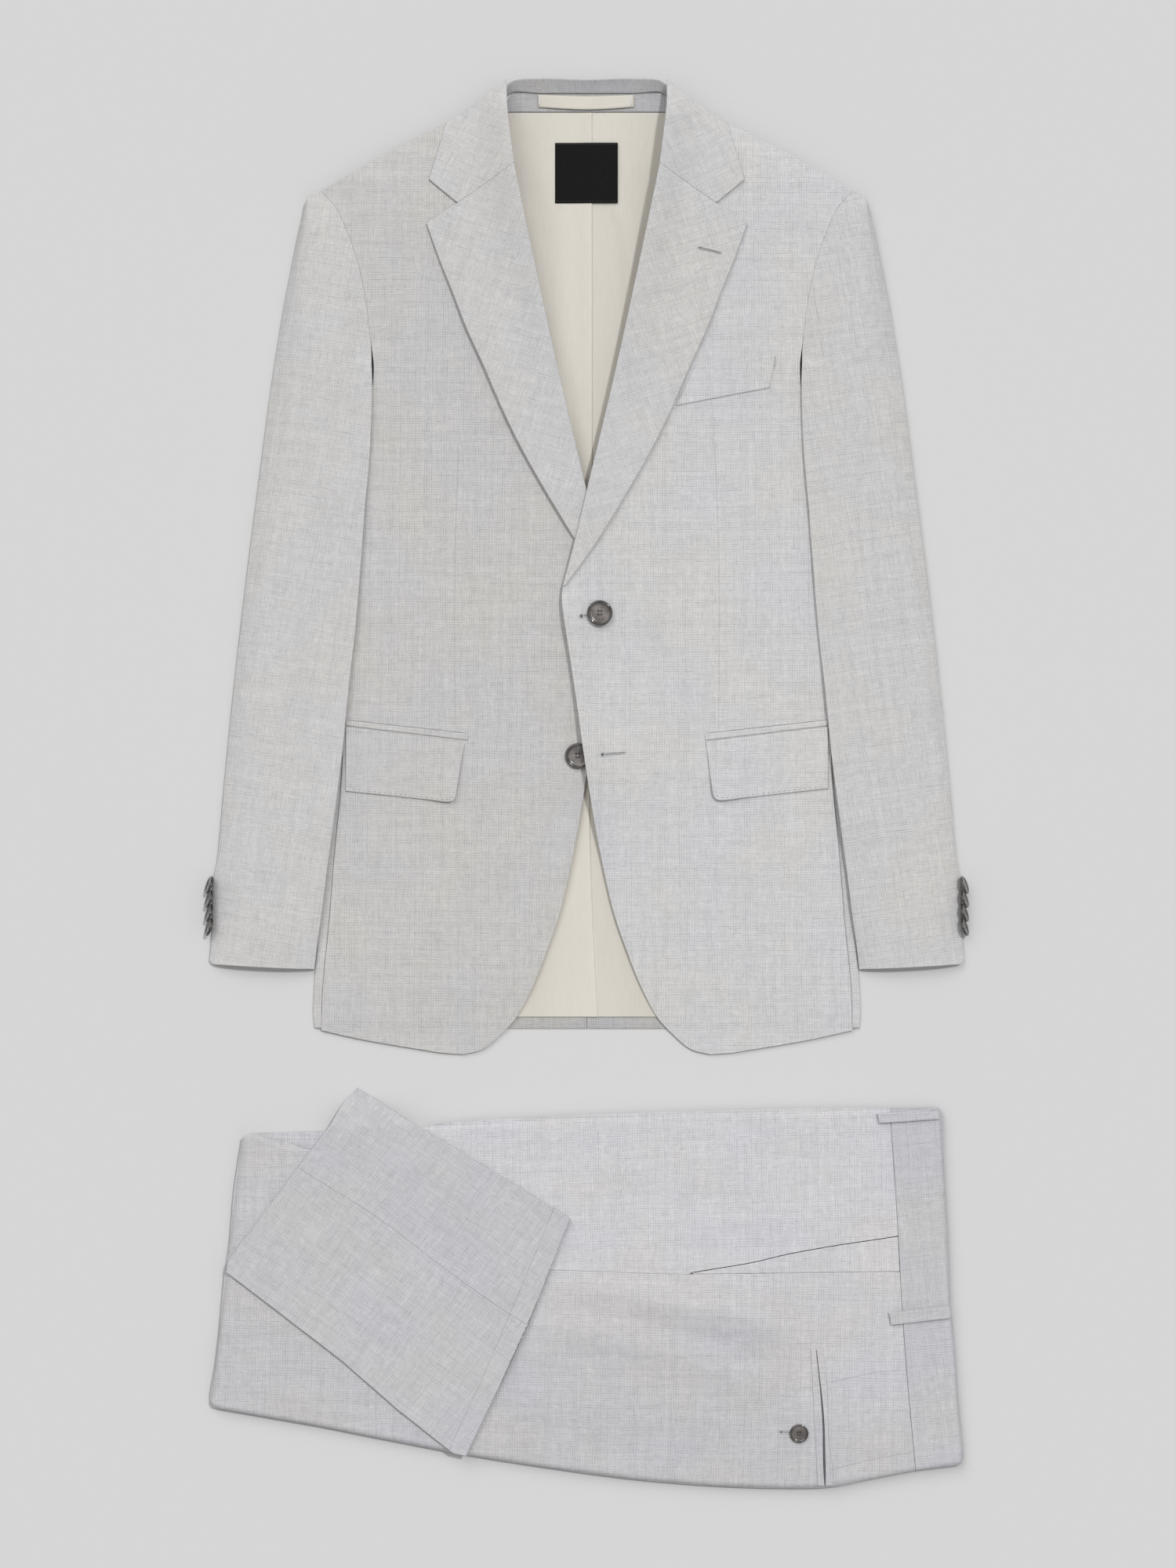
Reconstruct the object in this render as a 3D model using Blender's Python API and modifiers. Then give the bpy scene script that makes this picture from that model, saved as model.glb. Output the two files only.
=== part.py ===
"""A two-piece suit laid flat: a single-breasted jacket with peak lapels, and its folded trousers.

The jacket lies on its back above the trousers, which lie on their side with the waist to the right
and one leg folded up across them. +X is the photograph's right, +Y its top, +Z up from the surface.
Every length below is in millimetres. Jacket tables are measured from the jacket's centre line (u)
and up from the back hem (v), for the side at +X; the other side mirrors them. Trouser tables are in
the object's own x and y.
"""
import math

import bmesh
import bpy
import numpy as np

MM = 0.001
GAP = 0.3
SHELL = 1.2
FRONT = 1.8
LINING = 1.0
TRIM = 1.0
RIM_STEPS = (0.0, 3.0, 8.5)
SHARP_FROM = math.radians(50)
# How far a layer that follows a curved one stays above it.
LAY = 0.8

# Where the jacket's centre line and back hem lie in the object's frame.
JACKET_X = 0.0
JACKET_Y = -196.82
# Trouser tables are moved by this much in x and y, which centres the whole on the origin.
TROUSERS_MOVE = (1.1, 0.08)

# Heights of the jacket's top surface above the table.
EDGE_TOP = 5.2
LINING_TOP = SHELL + GAP + LINING

# Heights of the folded trousers.
PILE_TOP = 8.0
PANEL = 1.5
PANEL_TOP = PILE_TOP + GAP + PANEL
LEG_THICK = 3.2
BAND_THICK = 2.6

# Buttons: (diameter, thickness) of the front's, and of the cuffs' and the back pocket's.
FRONT_BUTTON = (20.3, 3.6)
SMALL_BUTTON = (15.0, 2.6)
CUFF_PITCH = 11.2

# u, v down the shoulder from the neck corner to the sleeve head.
SHOULDER = [(63.9, 759.8), (83.5, 744.7), (111.8, 727.0), (158.4, 703.4), (213.0, 671.8)]
# u, v down the armhole seam.
ARMHOLE = [(213.0, 671.8), (201.3, 658.4), (192.5, 640.1), (183.0, 612.4), (176.7, 580.9),
           (173.6, 555.7), (170.8, 527.0)]
# u, v down the side seam, from under the arm to the hem.
SIDE = [(170.8, 527.0), (176.0, 500.0), (192.0, 482.0), (194.0, 400.0), (193.6, 320.0),
        (195.0, 250.0), (197.2, 196.6), (202.5, 139.9), (207.0, 83.2), (211.4, 39.1), (213.3, -1.3)]
# u, v down the folded outer edge of the side panel.
SIDE_FOLD = [(204.0, 470.0), (206.0, 400.0), (206.0, 320.0), (207.0, 250.0), (209.0, 196.0),
             (212.0, 139.9), (215.0, 83.2), (218.3, 46.6), (220.0, 12.0), (219.0, 0.6)]
# u, v down the roll line, from the neck to where it meets the front edge.
ROLL = [(63.9, 759.8), (63.6, 739.0), (58.0, 691.1), (46.3, 635.0), (30.6, 562.0), (19.5, 512.8),
        (3.8, 447.3), (-10.7, 386.8), (-19.4, 354.0)]
# u, v down the front edge and round the cutaway to the hem's lowest point.
FRONT_EDGE = [(-19.4, 354.0), (-20.0, 343.0), (-18.6, 330.8), (-12.3, 289.8), (-7.9, 259.6),
              (-2.8, 223.0), (4.1, 177.7), (9.8, 146.2), (21.1, 95.1), (33.1, 59.9), (43.2, 34.6),
              (56.4, 9.4), (67.7, -3.1), (83.5, -16.4), (99.2, -20.5)]
# u, v along the front hem from the cutaway to the side seam.
FRONT_HEM = [(99.2, -20.5), (117.5, -19.2), (133.2, -16.7), (158.4, -12.6), (183.6, -8.0), (213.3, -1.3)]
# u, v down the lapel's outer edge, from the peak to its foot.
LAPEL_EDGE = [(128.2, 644.5), (117.2, 614.2), (106.8, 588.4), (96.7, 562.0), (83.2, 532.4),
              (66.8, 494.6), (50.7, 462.0), (21.7, 412.0), (5.0, 385.6), (-16.6, 356.0)]
NOTCH = (103.3, 660.6)
GORGE_END = (58.0, 690.8)
# u, v down the collar's outer edge, from the shoulder to its point.
COLLAR_EDGE = [(112.5, 726.0), (116.9, 710.6), (121.3, 695.5), (126.0, 679.4)]
# u, v up the free inner edge of the sleeve, from the cuff to the armhole.
SLEEVE_INNER = [(217.7, 47.9), (215.5, 66.2), (212.0, 90.1), (207.6, 125.4), (202.9, 159.4),
                (195.6, 215.5), (189.9, 272.2), (184.3, 322.6), (179.9, 376.1), (176.7, 418.3),
                (172.9, 460.5), (171.2, 499.0), (171.1, 527.0)]
# u, v up the sleeve's outer edge, from the cuff to the sleeve head.
SLEEVE_OUTER = [(303.0, 55.0), (301.0, 78.0), (300.0, 118.0), (296.7, 136.0), (291.1, 196.6), (284.8, 259.6),
                (277.8, 322.6), (270.3, 385.6), (262.1, 448.6), (253.9, 511.6), (244.1, 574.6),
                (238.1, 606.1), (231.8, 637.6), (226.5, 660.5)]
# u, v across the sleeve head, from the armhole seam to the outer edge.
SLEEVE_HEAD = [(213.4, 671.6), (221.4, 668.4), (226.5, 660.5)]

# v, half width, crown height of the jacket lying shut, from the hem to the neck.
BODY_SECTIONS = {
    "v": (-25.0, -3.0, 4.0, 30.0, 150.0, 300.0, 450.0, 560.0, 640.0, 680.0, 705.0, 730.0, 750.0, 765.0),
    "half": (216.0, 216.0, 216.0, 213.0, 206.0, 200.0, 206.0, 232.0, 236.0, 222.0, 176.0, 122.0, 86.0, 70.0),
    "crown": (2.8, 3.2, 4.0, 6.0, 8.0, 9.0, 11.0, 14.0, 17.0, 18.0, 17.0, 15.0, 11.0, 8.0),
}
# v, lift of the roll over the body there.
ROLL_LIFT = {
    "v": (330.0, 360.0, 430.0, 520.0, 620.0, 690.0, 735.0, 752.0, 765.0),
    "lift": (0.0, 0.6, 2.0, 4.5, 7.0, 10.0, 12.0, 8.0, 3.0),
}
ROLL_SPREAD = 20.0
# v, lift of the upper front where it laps the lower one.
LAP_LIFT = {
    "v": (100.0, 170.0, 200.0, 300.0, 345.0, 380.0, 440.0, 500.0, 560.0),
    "lift": (0.0, 0.6, 2.4, 2.6, 4.8, 5.4, 5.4, 2.0, 0.0),
}
# The upper front's rise over the covered button, where it is, and its spread along u and v.
BUTTON_RISE = 4.2
BUTTON_RISE_AT = (-1.0, 219.0)
BUTTON_SPREAD = (24.0, 32.0)
# u up to which the lap's lift is full, and where it has faded.
LAP_FLAT = 34.0
LAP_FADE = 80.0

# x, y round the trousers as they lie, from the upper left corner and clockwise.
TROUSER_OUTLINE = [(-278.0, -281.3), (-272.6, -277.5), (-239.6, -276.6), (-207.4, -275.6),
                   (-132.5, -273.1), (-31.7, -267.4), (100.6, -262.4), (200.0, -260.4),
                   (281.4, -259.9), (283.6, -262.5), (285.2, -299.6), (289.0, -365.7),
                   (290.9, -416.7), (294.1, -452.0), (297.2, -498.0), (301.0, -535.8),
                   (300.2, -545.0), (297.0, -547.2), (261.9, -551.6), (229.2, -557.9),
                   (195.8, -564.4), (156.1, -565.4), (100.6, -563.5), (34.5, -557.9),
                   (-31.7, -549.0), (-97.8, -538.6), (-171.5, -524.5), (-212.5, -516.3),
                   (-300.4, -501.0), (-303.8, -497.0), (-298.8, -460.2), (-289.3, -383.4),
                   (-283.7, -331.1)]
# x, y of the side seam, from the folded edge to the waistband.
SIDE_SEAM = [(-291.6, -390.0), (-160.0, -389.5), (-28.5, -389.6), (69.1, -392.8), (141.6, -392.2),
             (247.6, -390.9)]
# x, y down the waistband's seam.
BAND_SEAM = [(242.2, -260.6), (242.4, -269.3), (248.1, -358.8), (251.2, -416.7), (255.6, -478.5),
             (262.4, -551.4)]
# x, y of the slanting pocket's opening, from the side seam to the waistband.
POCKET_SLANT = [(83.0, -391.6), (132.1, -383.4), (156.1, -377.7), (189.5, -371.4), (247.4, -362.6)]
# x, y of the upper layer's edge at the top left, where the layer below shows.
LAYER_EDGE = [(-284.6, -331.0), (-278.0, -284.5), (-269.2, -279.8), (-256.6, -282.6),
              (-240.2, -287.6), (-222.5, -293.3), (-190.0, -290.0), (-132.5, -274.8)]
# x, y round the folded-up leg: its upper edge, hem, lower edge and crease.
LEG_UPPER = [(-185.4, -244.6), (-157.7, -261.1), (-88.0, -303.0), (-14.6, -347.8)]
LEG_HEM = [(-14.6, -347.8), (-38.0, -403.5), (-69.5, -476.0), (-97.6, -537.6)]
LEG_LOWER = [(-289.3, -390.6), (-245.9, -423.7), (-196.1, -462.1), (-151.4, -501.2), (-108.0, -535.4)]
LEG_CREASE = [(-289.3, -390.6), (-287.4, -382.0), (-261.6, -346.8), (-221.9, -293.3),
              (-206.8, -273.7), (-197.3, -257.4), (-185.4, -244.6)]
LEG_SEAM = [(-232.0, -307.0), (-215.0, -317.8), (-171.5, -344.9), (-120.5, -383.4),
            (-75.1, -416.1), (-47.6, -433.6)]

# Base colour, roughness and metallic value of each material.
LOOKS = {
    "wool": ((0.60, 0.60, 0.59), 0.9, 0.0),
    "lining": ((0.78, 0.74, 0.66), 0.45, 0.0),
    "label": ((0.02, 0.02, 0.022), 0.8, 0.0),
    "horn": ((0.16, 0.14, 0.13), 0.3, 0.0),
}


def clear_scene():
    for thing in list(bpy.data.objects):
        bpy.data.objects.remove(thing, do_unlink=True)


def material_for(name, look):
    """A plain material in one of the looks."""
    colour, rough, metal = LOOKS[look]
    paint = bpy.data.materials.new(name)
    paint.use_nodes = True
    shader = paint.node_tree.nodes["Principled BSDF"]
    shader.inputs["Base Color"].default_value = (*colour, 1.0)
    shader.inputs["Roughness"].default_value = rough
    shader.inputs["Metallic"].default_value = metal
    return paint


def add_piece(name, mesh, look):
    thing = bpy.data.objects.new(name, mesh)
    thing.data.materials.append(material_for(name, look))
    bpy.data.collections["suit"].objects.link(thing)
    return thing


def curve(table, count):
    """Points evenly spaced along a smooth curve through the table's points."""
    knots = np.array(table, float)
    if len(knots) == 2:
        return knots[0] + (knots[1] - knots[0]) * np.linspace(0, 1, count)[:, None]
    place = np.concatenate([[0], np.cumsum(np.linalg.norm(np.diff(knots, axis=0), axis=1) ** 0.5)])
    slope = np.gradient(knots, place, axis=0)
    fine = np.linspace(0, place[-1], 40 * len(knots))
    k = np.clip(np.searchsorted(place, fine, side="right") - 1, 0, len(knots) - 2)
    step = (place[k + 1] - place[k])[:, None]
    t = (fine[:, None] - place[k][:, None]) / step
    points = ((2 * t**3 - 3 * t**2 + 1) * knots[k] + (t**3 - 2 * t**2 + t) * step * slope[k]
              + (3 * t**2 - 2 * t**3) * knots[k + 1] + (t**3 - t**2) * step * slope[k + 1])
    run = np.concatenate([[0], np.cumsum(np.linalg.norm(np.diff(points, axis=0), axis=1))])
    even = np.linspace(0, run[-1], count)
    return np.stack([np.interp(even, run, points[:, i]) for i in range(points.shape[1])], axis=1)


def spaced(count, ends):
    """Values from 0 to 1, closer together near both ends as ends goes from 0 to 1."""
    t = np.linspace(0, 1, count)
    return (1 - ends) * t + ends * (1 - np.cos(np.pi * t)) / 2


def resample(points, places):
    """Points of an even curve at places from 0 to 1 along it."""
    even = np.linspace(0, 1, len(points))
    return np.stack([np.interp(places, even, points[:, i]) for i in range(points.shape[1])], axis=1)


def rimmed(count, length, low=True, high=True):
    """Values from 0 to 1 over a length: even, with lines added close to the chosen ends."""
    near = np.array(RIM_STEPS) / length
    inner = np.linspace(near[-1] if low else 0.0, 1 - near[-1] if high else 1.0, count)
    start = near[:-1] if low else []
    end = (1 - near[:-1])[::-1] if high else []
    return np.concatenate([start, inner, end])


def patch(low, high, left, right, down, across):
    """A grid of points filling four boundary curves (a Coons patch).

    low and high run left to right, left and right run from low to high. down holds the places of
    the grid's lines from low to high, and across those from left to right, from 0 to 1.
    """
    s = down[:, None, None]
    t = across[None, :, None]
    a, b = resample(low, t[0, :, 0])[None], resample(high, t[0, :, 0])[None]
    c, d = resample(left, s[:, 0, 0])[:, None], resample(right, s[:, 0, 0])[:, None]
    corners = ((1 - s) * (1 - t) * low[0] + (1 - s) * t * low[-1]
               + s * (1 - t) * high[0] + s * t * high[-1])
    return (1 - s) * a + s * b + (1 - t) * c + t * d - corners


def grid_form(flat, top):
    """A mesh in the making: a grid of faces through flat's points at height top."""
    rows, cols = flat.shape[:2]
    form = bmesh.new()
    bmesh.ops.create_grid(form, x_segments=cols - 1, y_segments=rows - 1, size=1.0)
    for vert in form.verts:
        col = round((vert.co.x + 1) / 2 * (cols - 1))
        row = round((vert.co.y + 1) / 2 * (rows - 1))
        vert.co = (flat[row, col, 0] * MM, flat[row, col, 1] * MM, top[row, col] * MM)
    return form


def add_form(name, form, look):
    """Turns a mesh in the making into a piece, smooth but for its real edges."""
    mesh = bpy.data.meshes.new(name)
    form.to_mesh(mesh)
    form.free()
    mesh.shade_smooth()
    mesh.set_sharp_from_angle(angle=SHARP_FROM)
    return add_piece(name, mesh, look)


def panel(name, flat, top, thick, look):
    """A cloth wall: a grid through flat's points at height top, extruded down by thick.

    With no thickness it goes down to the table.
    """
    form = grid_form(flat, top)
    made = bmesh.ops.extrude_face_region(form, geom=list(form.faces), use_keep_orig=True)["geom"]
    for part in made:
        if isinstance(part, bmesh.types.BMVert):
            part.co.z = 0.0 if thick is None else part.co.z - thick * MM
    bmesh.ops.recalc_face_normals(form, faces=form.faces)
    add_form(name, form, look)


def place_jacket(grid, side):
    """Jacket u, v points to the object's x and y; side is 1 at +X and -1 at -X."""
    return np.stack([JACKET_X + side * grid[..., 0], JACKET_Y + grid[..., 1]], axis=-1)


def read_table(table, key, at):
    return np.interp(at, table["v"], table[key])


def body_height(u, v):
    """Top of the fronts' cloth: a low dome across each section, plus the roll's lift."""
    half = read_table(BODY_SECTIONS, "half", v)
    crown = read_table(BODY_SECTIONS, "crown", v)
    dome = np.clip(1 - np.clip(np.abs(u) / half, 0, 1) ** 4, 0, 1)
    roll = np.array(ROLL)[::-1]
    away = u - np.interp(v, roll[:, 1], roll[:, 0])
    lift = read_table(ROLL_LIFT, "lift", v) * np.exp(-(np.clip(away, 0, None) / ROLL_SPREAD) ** 2)
    edge = np.minimum(EDGE_TOP, crown)
    return edge + (crown - edge) * dome + lift


def lap_lift(u, v):
    """How far the upper front is raised by the lower one beneath it."""
    fade = np.clip((LAP_FADE - u) / (LAP_FADE - LAP_FLAT), 0, 1)
    return read_table(LAP_LIFT, "lift", v) * fade * fade * (3 - 2 * fade)


def front_height(grid, side):
    u, v = grid[..., 0], grid[..., 1]
    height = body_height(u, v)
    if side > 0:
        over_button = np.exp(-((u - BUTTON_RISE_AT[0]) / BUTTON_SPREAD[0]) ** 2
                             - ((v - BUTTON_RISE_AT[1]) / BUTTON_SPREAD[1]) ** 2)
        height = height + lap_lift(u, v) + BUTTON_RISE * over_button
    return height


def side_name(name, side):
    return f"{name}_{'left' if side > 0 else 'right'}"


def polyline(points, count=60):
    """Even points along straight lines, whose corners stay sharp."""
    knots = np.array(points, float)
    run = np.concatenate([[0], np.cumsum(np.linalg.norm(np.diff(knots, axis=0), axis=1))])
    even = np.linspace(0, run[-1], count)
    return np.stack([np.interp(even, run, knots[:, i]) for i in range(2)], axis=1)


def place_trousers(grid):
    return grid + TROUSERS_MOVE


def moved(points, du, dv=0.0):
    return np.array(points, float) + (du, dv)


def front(side):
    """The front, from the side seam to the roll line and front edge, and from hem to shoulder."""
    inner = curve(FRONT_EDGE[:0:-1] + ROLL[::-1], 200)
    outer = curve(SIDE[::-1] + ARMHOLE[-2::-1], 160)
    grid = patch(curve(FRONT_HEM, 40), curve(SHOULDER, 60), inner, outer, spaced(38, 0.0),
                 spaced(9, 0.5))
    panel(side_name("front", side), place_jacket(grid, side), front_height(grid, side), FRONT, "wool")


def lapel(side):
    """The lapel, folded back over the front from the roll line to its outer edge."""
    roll = curve(ROLL[2:], 120)[::-1]
    foot = polyline([ROLL[-1], LAPEL_EDGE[-1]])
    top = polyline([GORGE_END, NOTCH, LAPEL_EDGE[0]])
    grid = patch(foot, top, roll, curve(LAPEL_EDGE[::-1], 120), spaced(20, 0.2),
                 spaced(6, 0.2))
    height = front_height(grid, side) + LAY + FRONT
    panel(side_name("lapel", side), place_jacket(grid, side), height, FRONT, "wool")


def collar(side):
    """The collar's leaf, from the roll round the neck to its point, over the front's shoulder."""
    seam = moved([GORGE_END, NOTCH, COLLAR_EDGE[-1]], 0.0, 2 * GAP)
    roll = curve(ROLL[2::-1], 60) + (0.0, 1.0)
    roll[0] = seam[0]
    outer = curve(COLLAR_EDGE[::-1], 40)
    outer[0] = seam[-1]
    ridge = polyline([roll[-1], (83.5, 745.4), outer[-1]])
    grid = patch(polyline(seam), ridge, roll, outer, spaced(8, 0.3), spaced(10, 0.0))
    height = front_height(grid, side) + LAY + FRONT
    panel(side_name("collar", side), place_jacket(grid, side), height, FRONT, "wool")


# Base and top of the collar's stand as u, v and height, from the gorge to the middle of the back.
STAND_SECTIONS = [
    ((66.0, 691.5, 3.8), (62.5, 692.0, 22.0)),
    ((69.5, 715.0, 3.8), (65.8, 716.0, 21.0)),
    ((70.0, 738.0, 3.8), (66.4, 739.5, 18.5)),
    ((62.0, 751.0, 3.5), (61.0, 759.0, 8.4)),
    ((36.9, 751.0, 3.3), (36.9, 761.9, 7.6)),
    ((0.0, 751.0, 3.3), (0.0, 761.0, 7.6)),
]
STAND_WALL = 1.0
STAND_STEPS = 28
STAND_ROWS = 2


def collar_stand():
    """The collar's stand: a narrow wall round the back of the neck, up to the roll."""
    half = np.array(STAND_SECTIONS)
    other = half[-2::-1] * (-1.0, 1.0, 1.0)
    sections = np.concatenate([half, other])
    base, top = curve(sections[:, 0], STAND_STEPS + 1), curve(sections[:, 1], STAND_STEPS + 1)
    rise = np.linspace(0, 1, STAND_ROWS + 1)[:, None, None]
    points = base[None] * (1 - rise) + top[None] * rise
    form = grid_form(place_jacket(points[..., :2], 1), points[..., 2])
    stand = add_form("collar_stand", form, "wool")
    wall = stand.modifiers.new("wall", "SOLIDIFY")
    wall.thickness = STAND_WALL * MM
    wall.offset = 0.0


# u, v along the back's neck and shoulder, from the centre seam to the armhole.
BACK_TOP = [(0.0, 751.6), (40.0, 752.0), (60.0, 754.0), (68.0, 753.6), (83.5, 743.6),
            (111.8, 726.0), (158.4, 702.6), (209.6, 672.2)]
# How far the back stays inside the front's outline.
BACK_INSET = 3.0


def back(side):
    """Half of the back, flat on the table from its centre seam to the side panel."""
    outer = moved(curve(SIDE[::-1] + ARMHOLE[-2::-1], 160), -BACK_INSET)
    outer[:, 1] = np.clip(outer[:, 1], 0.0, None)
    top = curve(BACK_TOP, 80)
    outer[-1] = top[-1]
    centre = polyline([(GAP / 2, 0.0), (GAP / 2, top[0, 1])])
    top[0] = centre[-1]
    grid = patch(polyline([centre[0], outer[0]]), top, centre, outer, spaced(16, 0.0),
                 spaced(4, 0.0))
    panel(side_name("back", side), place_jacket(grid, side), np.full(grid.shape[:2], SHELL), SHELL,
          "wool")


# Height of the folded side panel at the front's seam, how much lower it is at the fold, and the
# lowest point of its hem.
SIDE_FOLD_TOP = 3.2
SIDE_FOLD_FALL = 1.2
SIDE_HEM = 0.6


def side_panel(side):
    """The side panel, folded double along the jacket's edge, so two walls thick."""
    seam = moved(curve(SIDE[:1:-1], 120), 2 * GAP)
    seam[:, 1] = np.clip(seam[:, 1], SIDE_HEM, None)
    fold = curve(SIDE_FOLD[::-1], 120)
    top = polyline([seam[-1], fold[-1]])
    grid = patch(polyline([seam[0], fold[0]]), top, seam, fold, spaced(18, 0.1), spaced(3, 0.0))
    height = np.full(grid.shape[:2], SIDE_FOLD_TOP)
    height[:, -1] -= SIDE_FOLD_FALL
    panel(side_name("side_panel", side), place_jacket(grid, side), height, None, "wool")


# The lining's half width, lower and upper end, and its centre pleat: how high and wide it is,
# and where and over what length it fades at the top.
LINING_HALF = 84.0
LINING_LOW = 9.6
LINING_HIGH = 735.6
PLEAT_RISE = 1.0
PLEAT_WIDTH = 5.0
PLEAT_TOP = 650.0
PLEAT_FADE = 60.0


def back_lining(side):
    """Half of the back's lining where the open fronts show it, pleated at the centre."""
    corners = [(GAP / 2, LINING_LOW), (LINING_HALF, LINING_LOW),
               (LINING_HALF, LINING_HIGH), (GAP / 2, LINING_HIGH)]
    grid = patch(polyline(corners[:2]), polyline(corners[3:1:-1]), polyline([corners[0], corners[3]]),
                 polyline(corners[1:3]), spaced(14, 0.0), spaced(6, 0.0))
    grid[..., 0] = GAP / 2 + (grid[..., 0] - GAP / 2) * (grid[..., 0] / LINING_HALF)
    u, v = grid[..., 0], grid[..., 1]
    fade = np.clip((PLEAT_TOP - v) / PLEAT_FADE, 0, 1)
    height = LINING_TOP + PLEAT_RISE * np.exp(-(u / PLEAT_WIDTH) ** 2) * fade
    panel(side_name("back_lining", side), place_jacket(grid, side), height, LINING, "lining")


def flat_piece(name, corners, rows, cols, height, thick, look, side=1):
    """A strip or tab laid on the jacket: four corners, low left and right, then high left and right."""
    low_left, low_right, high_left, high_right = corners
    grid = patch(polyline([low_left, low_right]), polyline([high_left, high_right]),
                 polyline([low_left, high_left]), polyline([low_right, high_right]), spaced(rows, 0.0),
                 spaced(cols, 0.0))
    top = height(grid) if callable(height) else np.full(grid.shape[:2], float(height))
    panel(name, place_jacket(grid, side), top, thick, look)


FACING_TOP = SHELL + GAP + SHELL
LOOP_TOP = FACING_TOP + 2 * GAP + TRIM
# How far the hanger loop stands off between its ends, and half its length.
LOOP_BELLY = 1.6
LOOP_HALF = 40.0


def neck():
    """What shows inside the neck: facing, hanger loop and a bare label."""
    flat_piece("neck_facing", [(-68.0, 736.2), (68.0, 736.2), (-60.0, 751.4), (60.0, 751.4)],
               2, 5, FACING_TOP, SHELL, "wool")
    high = curve([(-39.4, 749.9), (-20.0, 749.0), (0.0, 748.5), (20.0, 749.0), (37.6, 749.8)], 60)
    low = curve([(-39.2, 739.8), (-20.0, 738.5), (0.0, 737.8), (20.0, 738.5), (37.8, 740.0)], 60)
    grid = patch(low, high, polyline([low[0], high[0]]), polyline([low[-1], high[-1]]), spaced(3, 0.0),
                 spaced(11, 0.2))
    belly = LOOP_BELLY * np.clip(1 - (grid[..., 0] / LOOP_HALF) ** 4, 0, 1)
    panel("hanger_loop", place_jacket(grid, 1), LOOP_TOP + belly, TRIM, "lining")
    flat_piece("neck_label", [(-25.5, 662.8), (24.9, 662.8), (-25.5, 711.3), (24.9, 711.3)],
               2, 3, LINING_TOP + GAP + TRIM, TRIM, "label")


# Thickness of the jets and the flap, and u of their end under the sleeve.
JET_RAISE = 1.0
FLAP_RAISE = 1.6
POCKET_END = 193.6


# u, v along each flap's lower edge, from its rounded corner to its end under the sleeve, and its
# upper corner.
FLAP_LOW = {
    1: [(100.6, 190.5), (101.8, 186.4), (103.8, 184.2), (107.0, 183.4), (130.0, 185.9), (POCKET_END, 192.9)],
    -1: [(104.6, 189.8), (105.6, 185.6), (107.2, 183.2), (110.0, 182.2), (130.0, 184.3), (POCKET_END, 190.8)],
}
FLAP_CORNER = {1: (95.4, 230.2), -1: (98.0, 229.2)}


def hip_pocket(side):
    """The jet and flap of the hip pocket, following the front."""
    flat_piece(side_name("pocket_jet", side),
               [(94.9, 231.6), (POCKET_END, 243.4), (94.8, 236.9), (POCKET_END, 247.8)],
               3, 12, lambda grid: front_height(grid, side) + GAP + JET_RAISE, JET_RAISE, "wool", side)
    low = curve(FLAP_LOW[side], 80)
    high = polyline([FLAP_CORNER[side], (POCKET_END, 242.4)])
    left, right = polyline([low[0], high[0]]), polyline([low[-1], high[-1]])
    grid = patch(low, high, left, right, spaced(5, 0.0), spaced(12, 0.3))
    panel(side_name("pocket_flap", side), place_jacket(grid, side),
          front_height(grid, side) + GAP + FLAP_RAISE, FLAP_RAISE, "wool")


def chest_welt():
    """The welt of the breast pocket, which slants up to the sleeve."""
    flat_piece("chest_welt", [(71.5, 499.4), (146.5, 513.8), (86.6, 530.6), (151.5, 540.5)],
               5, 9, lambda grid: front_height(grid, 1) + GAP + JET_RAISE, JET_RAISE, "wool")


# v, height of the sleeve along its middle.
SLEEVE_SECTIONS = {
    "v": (48.0, 150.0, 300.0, 450.0, 560.0, 640.0, 672.0),
    "crown": (11.5, 13.0, 14.5, 16.0, 17.5, 17.0, 12.0),
}
SLEEVE_EDGE_TOP = 3.6
# u and v over which the sleeve comes down from the jacket's side to the table.
BODY_REACH = (210.0, 224.0)
ARM_REACH = (532.0, 548.0)
# v, extra height that the pocket flap needs under the sleeve.
FLAP_CLEAR = {"v": (130.0, 165.0, 270.0, 300.0), "rise": (0.0, 2.4, 2.4, 0.0)}
CLEARANCE = 0.8
SLEEVE_COLUMNS = 9
SLEEVE_ENDS = 0.7
SLEEVE_DOME = 3.0


def soft_step(value, low, high):
    t = np.clip((value - low) / (high - low), 0, 1)
    return t * t * (3 - 2 * t)


def under_sleeve_floor(u, v):
    """What the sleeve lies on: the jacket's side as far as it reaches, and then the table."""
    over_body = (1 - soft_step(u, *BODY_REACH)) * (1 - soft_step(v, *ARM_REACH))
    return (body_height(u, v) + CLEARANCE + read_table(FLAP_CLEAR, "rise", v)) * over_body


def sleeve_grid():
    """Points over the sleeve as it lies, from cuff to head and from the body outwards."""
    inner = moved(curve(SLEEVE_INNER + ARMHOLE[-2::-1], 200), 3 * GAP)
    outer = curve(SLEEVE_OUTER, 160)
    cuff = curve([tuple(inner[0]), (258.0, 49.6), (292.0, 51.6), (300.6, 52.4), tuple(outer[0])], 60)
    head = curve(SLEEVE_HEAD, 30)
    head[0], head[-1] = inner[-1], outer[-1]
    return patch(cuff, head, inner, outer, spaced(24, 0.2),
                 spaced(SLEEVE_COLUMNS, SLEEVE_ENDS))


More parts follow.
